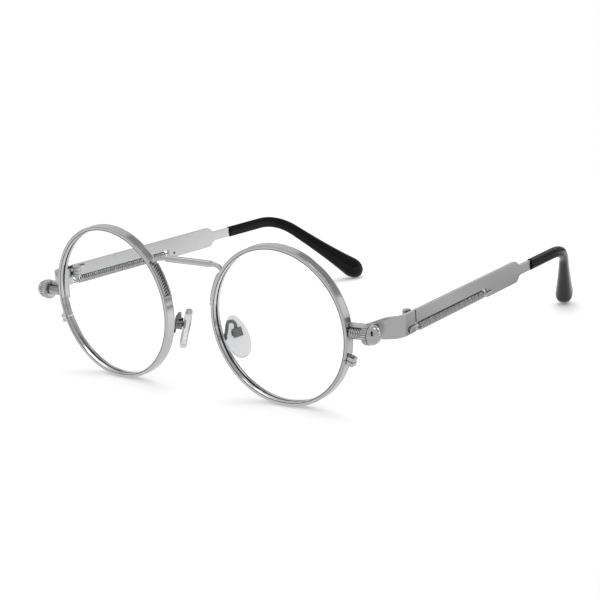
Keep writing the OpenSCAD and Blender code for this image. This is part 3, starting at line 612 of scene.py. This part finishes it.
def make_bridge():
    """The flat bar, its stepped ends, and the wires that land on the rims."""
    inward = (LANDING - Vector((RIM_X, LANDING.y, RIM_Z))).normalized()
    half = smooth_path([
        (0, BRIDGE_Y, BRIDGE_Z), (BAR_X * 0.5, BRIDGE_Y, BRIDGE_Z), (BAR_X, BRIDGE_Y, BRIDGE_Z),
        (BAR_X + 1.3, BRIDGE_Y, BRIDGE_Z - 0.02),
        (LANDING.x - 1.9, LANDING.y + 0.4, LANDING.z + BRIDGE_RISE * 0.8),
        (LANDING.x - 0.9, LANDING.y + 0.15, LANDING.z + BRIDGE_RISE * 0.36),
        LANDING - inward * 0.25], 14)
    path = [Vector((-p.x, p.y, p.z)) for p in half[:0:-1]] + half
    bar, thin = (BAR_DEPTH / 2, BAR_H / 2), (BRIDGE_WIRE_D / 2 * WIRE_SHARE,) * 2
    sizes = [mix(bar, thin, ease((abs(p.x) - BAR_X) / BAR_STEP)) for p in path]
    bm = sweep(path, sizes, (0, 0, 1), 40, BAR_POWER)
    return add_piece("bridge_bar", bm, TO_METRES, POLISHED, "front", ["bridge"])


def foot_height(s, t, arc):
    """Height of the foot over the rim, at shares s of its width and t of its length."""
    flank = min(1.0, min(s, 1 - s) / FOOT_FLANK)
    tail = ease(t / FOOT_TAIL) * ease((1 - t) / FOOT_TAIL)
    height = FOOT_T * (0.75 + 0.25 * flank)
    if t < FOOT_BANDS_END:
        if FOOT_FLANK < s < RIBS_END:
            turns = (arc + s * FOOT_W * RIB_SLANT) / FOOT_RIB
            rib = 0.5 + 0.5 * math.cos(math.tau * turns)
            height -= RIB_SINK + RIB_DEPTH * ease((0.7 - rib) / 0.35)
        elif s < BEAD_END:
            height += KNURL_H * ease(1 - abs(s - BEAD_AT) / BAND_HALF)
        in_groove = ease(1 - abs(s - LONG_GROOVE_AT) / BAND_HALF)
        height -= LONG_GROOVE_DEPTH * in_groove ** 0.5
    in_groove = ease(1 - abs(t - CROSS_GROOVE_AT) / CROSS_GROOVE_HALF)
    height -= CROSS_GROOVE_DEPTH * in_groove ** 0.5
    return max(0.05, min(FOOT_T + KNURL_H * 0.9, height) * (0.35 + 0.65 * tail))


def make_foot(side):
    """The strip on the rim under the bridge: a ribbed band, a bead, a groove and an edge."""
    start = 180 - BRIDGE_ANGLE + math.degrees((BRIDGE_WIRE_D / 2 + FOOT_CLEAR) / RIM_R)
    y0 = (RIM_DEPTH - FOOT_W) / 2
    under = RIM_R - FOOT_SUNK
    across, along_foot = 60, 400
    bm = bmesh.new()
    rings = []
    for i in range(along_foot + 1):
        t = i / along_foot
        angle = math.radians(start + FOOT_ARC * t)
        arc = t * FOOT_ARC * math.pi / 180 * RIM_R
        outline = [(under, 0)]
        for k in range(across + 1):
            s = k / across
            outline.append((RIM_R + foot_height(s, t, arc), s))
        outline.append((under, 1))
        rings.append([bm.verts.new((r * math.cos(angle), y0 + FOOT_W * s, r * math.sin(angle)))
                      for r, s in outline])
    join_rings(bm, rings)
    return add_piece(f"foot_knurl_{side}", bm, place(IN_RIM, side), KNURLED, "front",
                     [f"bridge_foot_{side}"])


BOX_FRONT = PAD_T / 2 * PAD_FACE_SHARE + BOX_H / 2 * sine(PAD_ROCK) + BOX_CLEAR
ARM_R = RIM_R - RIM_WALL / 2
ARM_ROOT = IN_RIM @ Vector((-ARM_R * cosine(ARM_ANGLE), RIM_DEPTH, -ARM_R * sine(ARM_ANGLE)))
ARM_END = IN_PAD @ Vector((BOX_FRONT + BOX_D / 2, 0, BOX_UP + BOX_H / 2))


def make_pad_arm(side):
    """The bent wire from the rim to the pad box, with its solder at the root."""
    top = ARM_END.z + ARM_RISE
    root, end = ARM_ROOT, ARM_END
    path = smooth_path([
        root, root + Vector((0.05, 0.75, 0.7)), (root.x - 0.12, root.y + 1.6, (root.z + top) / 2),
        (root.x - 0.2, root.y + 2.1, top - 0.75), (root.x - 0.35, root.y + 2.9, top - 0.05),
        (end.x - 0.75, end.y - 0.5, top), (end.x - 0.2, end.y - 0.05, top - 0.85), end], 10)
    bm = wire(path, ARM_D, 20)
    for s, radius in enumerate(SOLDER_RADII):
        at = Matrix.Translation(root + Vector((0.02 * s, 0.12 + 0.5 * s, 0.18 * s)))
        bmesh.ops.create_uvsphere(bm, u_segments=24, v_segments=12, radius=radius,
                                  matrix=at @ Matrix.Diagonal((1, SOLDER_FLATNESS, 1, 1)))
    # Nothing of the solder reaches into the rim
    cut = IN_RIM @ Vector((0, RIM_DEPTH + 0.01, 0))
    normal = IN_RIM.to_3x3() @ Vector((0, -1, 0))
    bmesh.ops.bisect_plane(bm, geom=bm.verts[:] + bm.edges[:] + bm.faces[:], plane_co=cut,
                           plane_no=normal, clear_outer=True)
    return add_piece(f"pad_arm_wire_{side}", bm, place(IN_FRONT, side), PAINTED_DARK_PAD_METAL, "front",
                     [f"pad_arm_{side}"])


def make_nose_pad(side):
    """An egg-shaped silicone pad with rounded faces and a shallow dish in its back."""
    path, sizes = [], []
    steps = 36
    for i in range(1, steps):
        t = math.sin(math.pi * (i / steps - 0.5))
        face = math.sqrt(max(0.0, 1 - abs(t) ** PAD_ENDS_POWER))
        round_off = math.sqrt(max(0.0, 1 - t * t))
        path.append(Vector((0, 0, t * PAD_H / 2)))
        sizes.append((PAD_T / 2 * face, PAD_W / 2 * round_off * (1 - PAD_TAPER * t)))
    bm = sweep(path, sizes, (0, 1, 0), 48, PAD_POWER)
    # The dish leaves room for the box when the pad rocks
    for vert in bm.verts:
        reach = math.hypot(vert.co.y, vert.co.z - BOX_UP)
        vert.co.x = min(vert.co.x, DISH_DEPTH + DISH_SLOPE * max(0.0, reach - DISH_R))
    return add_piece(f"pad_silicone_{side}", bm, place(IN_PAD, side), SILICONE,
                     f"nose_pad_{side}", [f"nose_pad_{side}"])


# The side bolts

COLLAR_X = RIM_R + ROD_LEN
CAP_X = COLLAR_X + COLLAR_T
BOLT_Z = RIM_R * sine(BOLT_ANGLE)
ALONG_BOLT = IN_RIM @ Matrix.Translation((0, GROOVE_Y, BOLT_Z)) @ turn(-90, "Z")


def make_rod(side):
    """Threaded rod with a real helical thread."""
    around, per_turn = 48, 10
    rings = []
    bm = bmesh.new()
    root = ROD_D / 2 - THREAD_DEPTH
    steps = int((ROD_LEN - 0.1) / THREAD_PITCH * per_turn)
    start = RIM_R - 0.02
    for i in range(steps + 1):
        x = start + (ROD_LEN - 0.02) * i / steps
        ring = []
        for k in range(around):
            phase = (x - start) / THREAD_PITCH - k / around
            crest = 1 - abs((phase % 1.0) - 0.5) * 2
            fade = ease((x - start - 0.1) / THREAD_FADE)
            depth = THREAD_DEPTH * ease(crest * THREAD_SHARPNESS) * fade
            r = root + depth
            a = math.tau * k / around
            ring.append(bm.verts.new((r * math.cos(a), x, -r * math.sin(a))))
        rings.append(ring)
    join_rings(bm, rings)
    return add_piece(f"bolt_thread_{side}", bm, place(ALONG_BOLT, side), THREADED, "front",
                     [f"side_bolt_{side}"])


def make_collar(side):
    """Knurled collar with rounded teeth and chamfered faces."""
    outer = COLLAR_D / 2
    bore = ROD_D / 2 - 0.1
    x0, x1 = COLLAR_X, COLLAR_X + COLLAR_T - 0.02
    profile = [(bore, x0), (outer - 0.75, x0), (outer - 0.62, x0), (outer - 0.3, x0 + 0.1),
               (outer, x0 + 0.32), (outer, x1 - 0.32), (outer - 0.3, x1 - 0.08),
               (outer - 0.6, x1), (bore, x1)]
    toothed = {3: 0.6, 4: 1.0, 5: 1.0, 6: 0.6}

    def teeth(i, k):
        wave = 0.5 - 0.5 * math.cos(math.tau * i / TOOTH_STEPS)
        return -TOOTH_DEPTH * toothed.get(k, 0.0) * (1 - wave ** 0.6)

    bm = revolve(profile, COLLAR_TEETH * TOOTH_STEPS, wobble=teeth)
    return add_piece(f"collar_knurl_{side}", bm, place(ALONG_BOLT, side), KNURLED, "front",
                     [f"bolt_collar_{side}"])


def make_cap(side):
    """Domed cap with a small foot where it meets the collar."""
    bm = bmesh.new()
    steps, around = 26, 72
    rings = []
    for i in range(steps + 1):
        t = i / steps
        a = math.pi / 2 * t * 0.995
        x = CAP_X + CAP_R * math.sin(a)
        r = CAP_R * math.cos(a)
        rings.append(round_ring(bm, r, x, around))
    base = round_ring(bm, CAP_R - CAP_FOOT_IN, CAP_X, around)
    for vert in rings[0]:
        vert.co.y += CAP_FOOT_H
    join_rings(bm, [base] + rings)
    return add_piece(f"cap_dome_{side}", bm, place(ALONG_BOLT, side), POLISHED, "front",
                     [f"bolt_cap_{side}"])


def bake(obj):
    """Replaces a mesh by what its modifiers make of it."""
    graph = bpy.context.evaluated_depsgraph_get()
    mesh = bpy.data.meshes.new_from_object(obj.evaluated_get(graph))
    obj.modifiers.clear()
    obj.data = mesh


# The temples

PLATE_LOW = -TEMPLE_H / 2
SPRING_X = -TEMPLE_T / 2
SPRING_Z = PLATE_LOW + NOTCH_H / 2 - 0.05
COIL_R = (COIL_D - SPRING_WIRE) / 2
COIL_END = NOTCH_LEN - COIL_REAR
HOOK_X = SPRING_X + COIL_R
FRONT_HOLE_Y = -JOINT_GAP - FRONT_HOLE
REAR_HOLE_Y = NOTCH_LEN + REAR_HOLE


def make_spring(side):
    """Close-wound spring: a loop at the front, the coil, and a hook in the temple's hole."""
    loop_r = COIL_R * 0.78
    loop_at = Vector((SPRING_X, COIL_FRONT - loop_r - 0.2, SPRING_Z))
    loop = [loop_at + Vector((0.12 * math.sin(a / 2), loop_r * math.cos(a), loop_r * math.sin(a)))
            for a in (math.radians(d) for d in range(-150, 91, 12))]
    lead = [Vector((SPRING_X, COIL_FRONT - 0.35, SPRING_Z + COIL_R * 0.93))]
    per_turn = 16
    pitch = (COIL_END - COIL_FRONT) / CURLS
    coil = []
    for i in range(CURLS * per_turn + per_turn // 4 + 1):
        a = math.tau * i / per_turn
        coil.append(Vector((SPRING_X + COIL_R * math.sin(a), COIL_FRONT + pitch * i / per_turn,
                            SPRING_Z + COIL_R * math.cos(a))))
    hook = smooth_path([
        coil[-1], (HOOK_X + 0.02, COIL_END + 0.7, SPRING_Z - 0.25),
        (HOOK_X + 0.02, COIL_END + 1.3, SPRING_Z), (HOOK_X, REAR_HOLE_Y - 0.5, SPRING_Z),
        (HOOK_X - 0.25, REAR_HOLE_Y - 0.05, SPRING_Z), (HOOK_X - 0.8, REAR_HOLE_Y, SPRING_Z),
        (-TEMPLE_T - 0.45, REAR_HOLE_Y, SPRING_Z)], 5)[1:]
    bm = wire(loop + lead + coil + hook, SPRING_WIRE, 8)
    return add_piece(f"spring_coil_{side}", bm, place(IN_TEMPLE, side), SPRING,
                     f"temple_{side}", [f"spring_{side}"])


def make_spring_hook(side):
    """The wire that leads from the spring's loop over the joint into the end piece."""
    high = SPRING_Z + COIL_R * 0.9
    path = smooth_path([
        (SPRING_X - 0.5, 0.75, SPRING_Z - 0.1), (SPRING_X + 0.2, 0.45, SPRING_Z + 0.1),
        (HOOK_X - 0.2, 0.1, high - 0.35), (HOOK_X, -0.5, high), (HOOK_X, -2.2, high + 0.05),
        (HOOK_X, FRONT_HOLE_Y + 0.65, high - 0.05), (HOOK_X, FRONT_HOLE_Y + 0.1, high - 0.5),
        (HOOK_X - 0.05, FRONT_HOLE_Y, SPRING_Z + 0.35), (HOOK_X - 0.35, FRONT_HOLE_Y, SPRING_Z),
        (-TEMPLE_T - 0.4, FRONT_HOLE_Y, SPRING_Z)], 8)
    bm = wire(path, HOOK_WIRE, 14)
    matrix = place(IN_TEMPLE, side)
    hook = add_piece(f"hook_wire_{side}", bm, matrix, SPRING, None, [f"spring_hook_{side}"])
    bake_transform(hook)
    return hook


TIP_START = PLATE_LEN + NECK_LEN
TIP_X = -TEMPLE_T / 2
BEND_Y = TIP_START + TIP_STRAIGHT
BEND_DIR = turn(TIP_IN_ANGLE, "Y").to_3x3() @ Vector((0, 0, -1))


def tip_arc(angle):
    """A point of the tip's bend."""
    return (Vector((TIP_X, BEND_Y, 0)) + Vector((0, TIP_BEND_R * sine(angle), 0))
            + BEND_DIR * TIP_BEND_R * (1 - cosine(angle)))


def tip_size(share):
    """Half thickness and half width of the tip at a share of its swelling length."""
    thick = TIP_T + (TIP_END_T - TIP_T) * share ** TIP_THICKENING
    wide = TIP_H + (TIP_END_W - TIP_H) * share ** TIP_WIDENING
    return thick / 2, wide / 2


def tip_shape(drop):
    """Path and sizes of a tip that runs a distance beyond its bend."""
    heading = Vector((0, cosine(TIP_BEND_ANGLE), 0)) + BEND_DIR * sine(TIP_BEND_ANGLE)
    after = tip_arc(TIP_BEND_ANGLE)
    bend_length = TIP_BEND_R * math.radians(TIP_BEND_ANGLE)
    straight = drop - TIP_ROUND
    path, sizes = [], []
    neck = tip_size(0)
    lip, bend_gap = 0.4, 0.5
    for y, share in ((0, 0.88), (0.05, 0.95), (0.15, 0.99), (lip, 1.0)):
        path.append(Vector((TIP_X, TIP_START + y, 0)))
        sizes.append((neck[0] * share, neck[1] * share))
    for i in range(1, 13):
        y = TIP_START + lip + (TIP_STRAIGHT - lip - bend_gap) * i / 12
        path.append(Vector((TIP_X, y, 0)))
        sizes.append(neck)
    for i in range(33):
        path.append(tip_arc(TIP_BEND_ANGLE * i / 32))
        sizes.append(tip_size(bend_length * i / 32 / (bend_length + straight)))
    for i in range(1, 33):
        path.append(after + heading * straight * i / 32)
        sizes.append(tip_size((bend_length + straight * i / 32) / (bend_length + straight)))
    end = tip_size(1)
    for a in (8, 16, 24, 32, 40, 48, 55, 62, 68, 74, 79, 84, 88):
        path.append(after + heading * (straight + TIP_ROUND * sine(a)))
        sizes.append((end[0] * cosine(a) ** 1.35, end[1] * cosine(a)))
    return path, sizes


def make_tip(side):
    """Black sleeve that bends down and in, and swells to a rounded end that meets the floor."""
    matrix = place(IN_TEMPLE, side)
    drop, steepness = 33.0, sine(TIP_BEND_ANGLE) * cosine(TIP_IN_ANGLE)
    for _ in range(4):
        bm = sweep(*tip_shape(drop), (0, 0, 1), 56, TIP_POWER)
        low = min((matrix @ vert.co).z for vert in bm.verts) / MM
        if abs(low - TIP_FLOOR_GAP) < TIP_FLOOR_TOLERANCE:
            break
        bm.free()
        drop += (low - TIP_FLOOR_GAP) / steepness
    return add_piece(f"tip_sleeve_{side}", bm, matrix, PLASTIC, f"temple_{side}",
                     [f"temple_tip_{side}"])


# CAD pieces that keep their shape, with their edges eased

def eased_copy(node, body, material, width):
    """A copy of a CAD node with its sharp edges rounded, which then stands for it."""
    source = frame["nodes"][node]
    bm = bmesh.new()
    bm.from_mesh(source.data)
    bmesh.ops.remove_doubles(bm, verts=bm.verts, dist=MERGE_DISTANCE * MM)
    bmesh.ops.dissolve_limit(bm, angle_limit=math.radians(FLAT_ANGLE), verts=bm.verts,
                             edges=bm.edges)
    obj = add_piece(f"{node}_eased", bm, Matrix.Identity(4), material, body, [node])
    bevel = obj.modifiers.new("ease", "BEVEL")
    bevel.width = width * MM
    bevel.segments = 2
    bevel.limit_method = "ANGLE"
    bevel.angle_limit = math.radians(EASED_ANGLE)
    bevel.harden_normals = True
    bake(obj)
    return obj


# Body, material, slot, and width of the eased edges in millimetres
EASED = {
    "end_piece": ("front", SATIN, "satin_metal", 0.12),
    "hinge_front_leaf": ("front", SATIN, "satin_metal", 0.07),
    "hinge_rear_leaf": ("temple", SATIN, "satin_metal", 0.07),
    "hinge_screw": ("front", SCREW, "screw_metal", 0.08),
    "temple": ("temple", SATIN, "satin_metal", 0.1),
    "rim_lock_upper": ("front", BAND, "satin_metal", 0.12),
    "rim_lock_lower": ("front", BAND, "satin_metal", 0.12),
    "rim_lock_screw": ("front", SCREW, "screw_metal", 0.05),
    "pad_box": ("front", PAINTED_DARK_PAD_METAL, "polished_metal", 0.1),
    "pad_screw": ("front", PAINTED_DARK_PAD_METAL, "screw_metal", 0.05),
    "pad_insert": ("nose_pad", PAINTED_DARK_PAD_METAL, "screw_metal", 0.06),
}


# Stage

# Where the studio is bright or dark in reflections: direction, half angles of the core and the
# edge, and brightness. The later ones lie over the earlier ones.
SOFTBOXES = (
    ((-0.33, 0.71, 0.62), 27, 33, 0.62),
    ((-0.62, 0.75, 0.12), 12, 24, 0.66),
    ((0.60, 0.77, 0.21), 9, 16, 0.8),
    ((0.45, 0.75, 0.47), 8, 12, 0.3),
    ((0.24, 0.72, 0.66), 10, 14, 0.25),
    ((-0.04, 0.70, 0.71), 12, 16, 0.3),
    ((0.134, 0.9, 0.42), 6, 10, 2.4),
    ((0.29, 0.51, 1.05), 4, 9, 3.0),
    ((-0.75, -0.45, 0.62), 16, 26, 1.3),
    ((-0.62, -0.16, 0.77), 9, 14, 0.03),
    ((0.63, -0.76, 0.24), 10, 15, 0.01),
    ((0.63, -0.76, 0.55), 10, 15, 0.01),
    ((0.63, -0.76, 1.0), 10, 15, 0.01),
)
STUDIO_WALLS = 0.52
STUDIO_LIGHT = 0.9

# What the floor shows in reflections near the object and far from it
FLOOR_FAR = 0.58
FLOOR_NEAR = 0.95

# Its own faint light for matt surfaces and for the camera, and its size and drop in metres
FLOOR_GLOW = 0.1
FLOOR_LIFT = 0.03
FLOOR_SIZE = 12
FLOOR_DROP = 0.00005

# Distances from the object's middle, in metres: where the near glow turns to the far one, and
# where the lit floor fades to plain white
FLOOR_TURNS = (0.05, 0.1)
FLOOR_FADES = (0.12, 0.24)

# Where the floor is brighter or darker in reflections: place, radii and glow
FLOOR_PATCHES = (
    ((0.115, 0.01, 0), 0.02, 0.04, 0.3),
    ((-0.1, -0.11, 0), 0.1, 0.16, 0.76),
    ((0.02, 0.127, 0), 0.05, 0.09, 1.1),
    ((0.2, 0.06, 0), 0.02, 0.05, 1.25),
    ((0.09, 0.095, 0), 0.02, 0.035, 0.36),
    ((0.07, 0.38, 0), 0.15, 0.2, 0.12),
)


# The one lamp: its place and size in metres, and its power in watts
LAMP_AT = (-0.15, 0.2, 0.95)
LAMP_SIZE = 0.7
LAMP_POWER = 2.0


def either(nodes, links, a, b):
    """The larger of two values."""
    node = nodes.new("ShaderNodeMath")
    node.operation = "MAXIMUM"
    links.new(a, node.inputs[0])
    links.new(b, node.inputs[1])
    return node.outputs[0]


def seen_directly(nodes, links):
    """1 for rays from the camera, also through the lenses, that no mirror has turned."""
    path = nodes.new("ShaderNodeLightPath")
    through = nodes.new("ShaderNodeMath")
    through.operation = "SUBTRACT"
    through.use_clamp = True
    links.new(path.outputs["Is Transmission Ray"], through.inputs[0])
    links.new(path.outputs["Glossy Depth"], through.inputs[1])
    return either(nodes, links, path.outputs["Is Camera Ray"], through.outputs[0])


def along(nodes, links, direction, aim):
    """Cosine of the angle between a direction and a fixed aim."""
    node = nodes.new("ShaderNodeVectorMath")
    node.operation = "DOT_PRODUCT"
    links.new(direction, node.inputs[0])
    node.inputs[1].default_value = Vector(aim).normalized()
    return node.outputs["Value"]


def layered(nodes, links, factor, below, above):
    """One shader laid over another where the factor is 1."""
    node = nodes.new("ShaderNodeMixShader")
    links.new(factor, node.inputs["Fac"])
    links.new(below, node.inputs[1])
    links.new(above, node.inputs[2])
    return node.outputs[0]


def glow(nodes, links, strength):
    """White light of a fixed strength, or of a strength from another node."""
    node = nodes.new("ShaderNodeEmission")
    node.inputs["Color"].default_value = (1, 1, 1, 1)
    if isinstance(strength, float):
        node.inputs["Strength"].default_value = strength
    else:
        links.new(strength, node.inputs["Strength"])
    return node.outputs[0]


def background(nodes, strength):
    node = nodes.new("ShaderNodeBackground")
    node.inputs["Color"].default_value = (1, 1, 1, 1)
    node.inputs["Strength"].default_value = strength
    return node


def make_world(strength):
    """White to the camera, even light on matt surfaces, and softboxes in the reflections."""
    world = bpy.data.worlds.new("studio")
    world.use_nodes = True
    bpy.context.scene.world = world
    nodes, links = world.node_tree.nodes, world.node_tree.links
    even = nodes["Background"]
    even.inputs["Color"].default_value = (1, 1, 1, 1)
    even.inputs["Strength"].default_value = strength
    direction = nodes.new("ShaderNodeTexCoord").outputs["Generated"]
    studio = background(nodes, STUDIO_WALLS).outputs[0]
    for aim, core, edge, bright in SOFTBOXES:
        facing = along(nodes, links, direction, aim)
        inside = ranged(nodes, links, facing, 0.0, 1.0, cosine(edge), cosine(core))
        studio = layered(nodes, links, inside, studio, background(nodes, bright).outputs[0])
    mirror_ray = nodes.new("ShaderNodeLightPath").outputs["Is Glossy Ray"]
    mirrored = layered(nodes, links, mirror_ray, even.outputs[0], studio)
    plain = seen_directly(nodes, links)
    seen = layered(nodes, links, plain, mirrored, background(nodes, 1.0).outputs[0])
    links.new(seen, nodes["World Output"].inputs["Surface"])


def make_floor():
    """A pale floor, plain white away from the object to the camera and greyer in reflections."""
    bpy.ops.mesh.primitive_plane_add(size=FLOOR_SIZE, location=(0, 0, -FLOOR_DROP))
    floor = bpy.context.object
    floor.name = "floor"
    material, nodes, links, shader = node_tree("floor_paper")
    coords = nodes.new("ShaderNodeTexCoord").outputs["Object"]
    fibre = noise_node(nodes, links, coords, PAPER_SCALE, 3)
    links.new(blended(nodes, links, fibre, (0.97, 0.97, 0.97), (0.99, 0.99, 0.99)),
              shader.inputs["Base Color"])
    shader.inputs["Roughness"].default_value = 0.9
    shader.inputs["Specular IOR Level"].default_value = 0.0
    shader.inputs["Emission Color"].default_value = (1, 1, 1, 1)
    shader.inputs["Emission Strength"].default_value = FLOOR_GLOW
    away = nodes.new("ShaderNodeVectorMath")
    away.operation = "LENGTH"
    links.new(coords, away.inputs[0])
    away = away.outputs["Value"]
    mirrored = glow(nodes, links, ranged(nodes, links, away, FLOOR_NEAR, FLOOR_FAR, *FLOOR_TURNS))
    for middle, core, edge, bright in FLOOR_PATCHES:
        reach = nodes.new("ShaderNodeVectorMath")
        reach.operation = "DISTANCE"
        reach.inputs[1].default_value = middle
        links.new(coords, reach.inputs[0])
        inside = ranged(nodes, links, reach.outputs["Value"], 1.0, 0.0, core, edge)
        mirrored = layered(nodes, links, inside, mirrored, glow(nodes, links, bright))
    mirror_ray = nodes.new("ShaderNodeLightPath").outputs["Is Glossy Ray"]
    surface = layered(nodes, links, mirror_ray, shader.outputs[0], mirrored)
    plain = seen_directly(nodes, links)
    lifted = nodes.new("ShaderNodeAddShader")
    links.new(shader.outputs[0], lifted.inputs[0])
    links.new(glow(nodes, links, FLOOR_LIFT), lifted.inputs[1])
    lit = layered(nodes, links, ranged(nodes, links, away, 0.0, 1.0, *FLOOR_FADES),
                  lifted.outputs[0], glow(nodes, links, 1.0))
    surface = layered(nodes, links, plain, surface, lit)
    links.new(surface, nodes["Material Output"].inputs["Surface"])
    floor.data.materials.append(material)


def make_lamp(name, location, size, power):
    """A square lamp that faces the object and isn't seen in reflections."""
    lamp = bpy.data.lights.new(name, "AREA")
    lamp.shape = "SQUARE"
    lamp.size = size
    lamp.energy = power
    obj = bpy.data.objects.new(name, lamp)
    bpy.context.scene.collection.objects.link(obj)
    obj.location = location
    obj.rotation_euler = (-Vector(location)).to_track_quat("-Z", "Y").to_euler()
    obj.visible_glossy = False


def make_camera():
    """The camera that was fitted to the photograph."""
    az, el, roll = CAMERA_AZIMUTH, CAMERA_ELEVATION, CAMERA_ROLL
    back = Vector((sine(az) * cosine(el), -cosine(az) * cosine(el), sine(el)))
    right = Vector((cosine(az), sine(az), 0))
    up = back.cross(right)
    across = right * cosine(roll) + up * sine(roll)
    upward = up * cosine(roll) - right * sine(roll)
    data = bpy.data.cameras.new("photo")
    data.sensor_width = 36
    data.lens = CAMERA_LENS
    data.shift_x, data.shift_y = CAMERA_SHIFT
    data.clip_start, data.clip_end = 0.01, 50
    camera = bpy.data.objects.new("photo", data)
    bpy.context.scene.collection.objects.link(camera)
    turned = Matrix((across, upward, back)).transposed().to_4x4()
    at = TO_METRES @ Vector(CAMERA_TARGET) + back * CAMERA_DISTANCE * MM
    camera.matrix_world = Matrix.Translation(at) @ turned
    bpy.context.scene.camera = camera


make_camera()
make_world(STUDIO_LIGHT)
make_floor()
make_lamp("overhead", LAMP_AT, LAMP_SIZE, LAMP_POWER)

make_bridge()
for side in SIDES:
    make_rim(side)
    make_lens(side)
    make_foot(side)
    make_pad_arm(side)
    make_nose_pad(side)
    make_rod(side)
    make_collar(side)
    make_cap(side)
    make_spring(side)
    make_spring_hook(side)
    make_tip(side)
    for part, (body, material, slot, width) in EASED.items():
        body = body if body == "front" else f"{body}_{side}"
        eased_copy(f"{part}_{side}", body, material, width)

bpy.context.scene.view_settings.view_transform = "Standard"
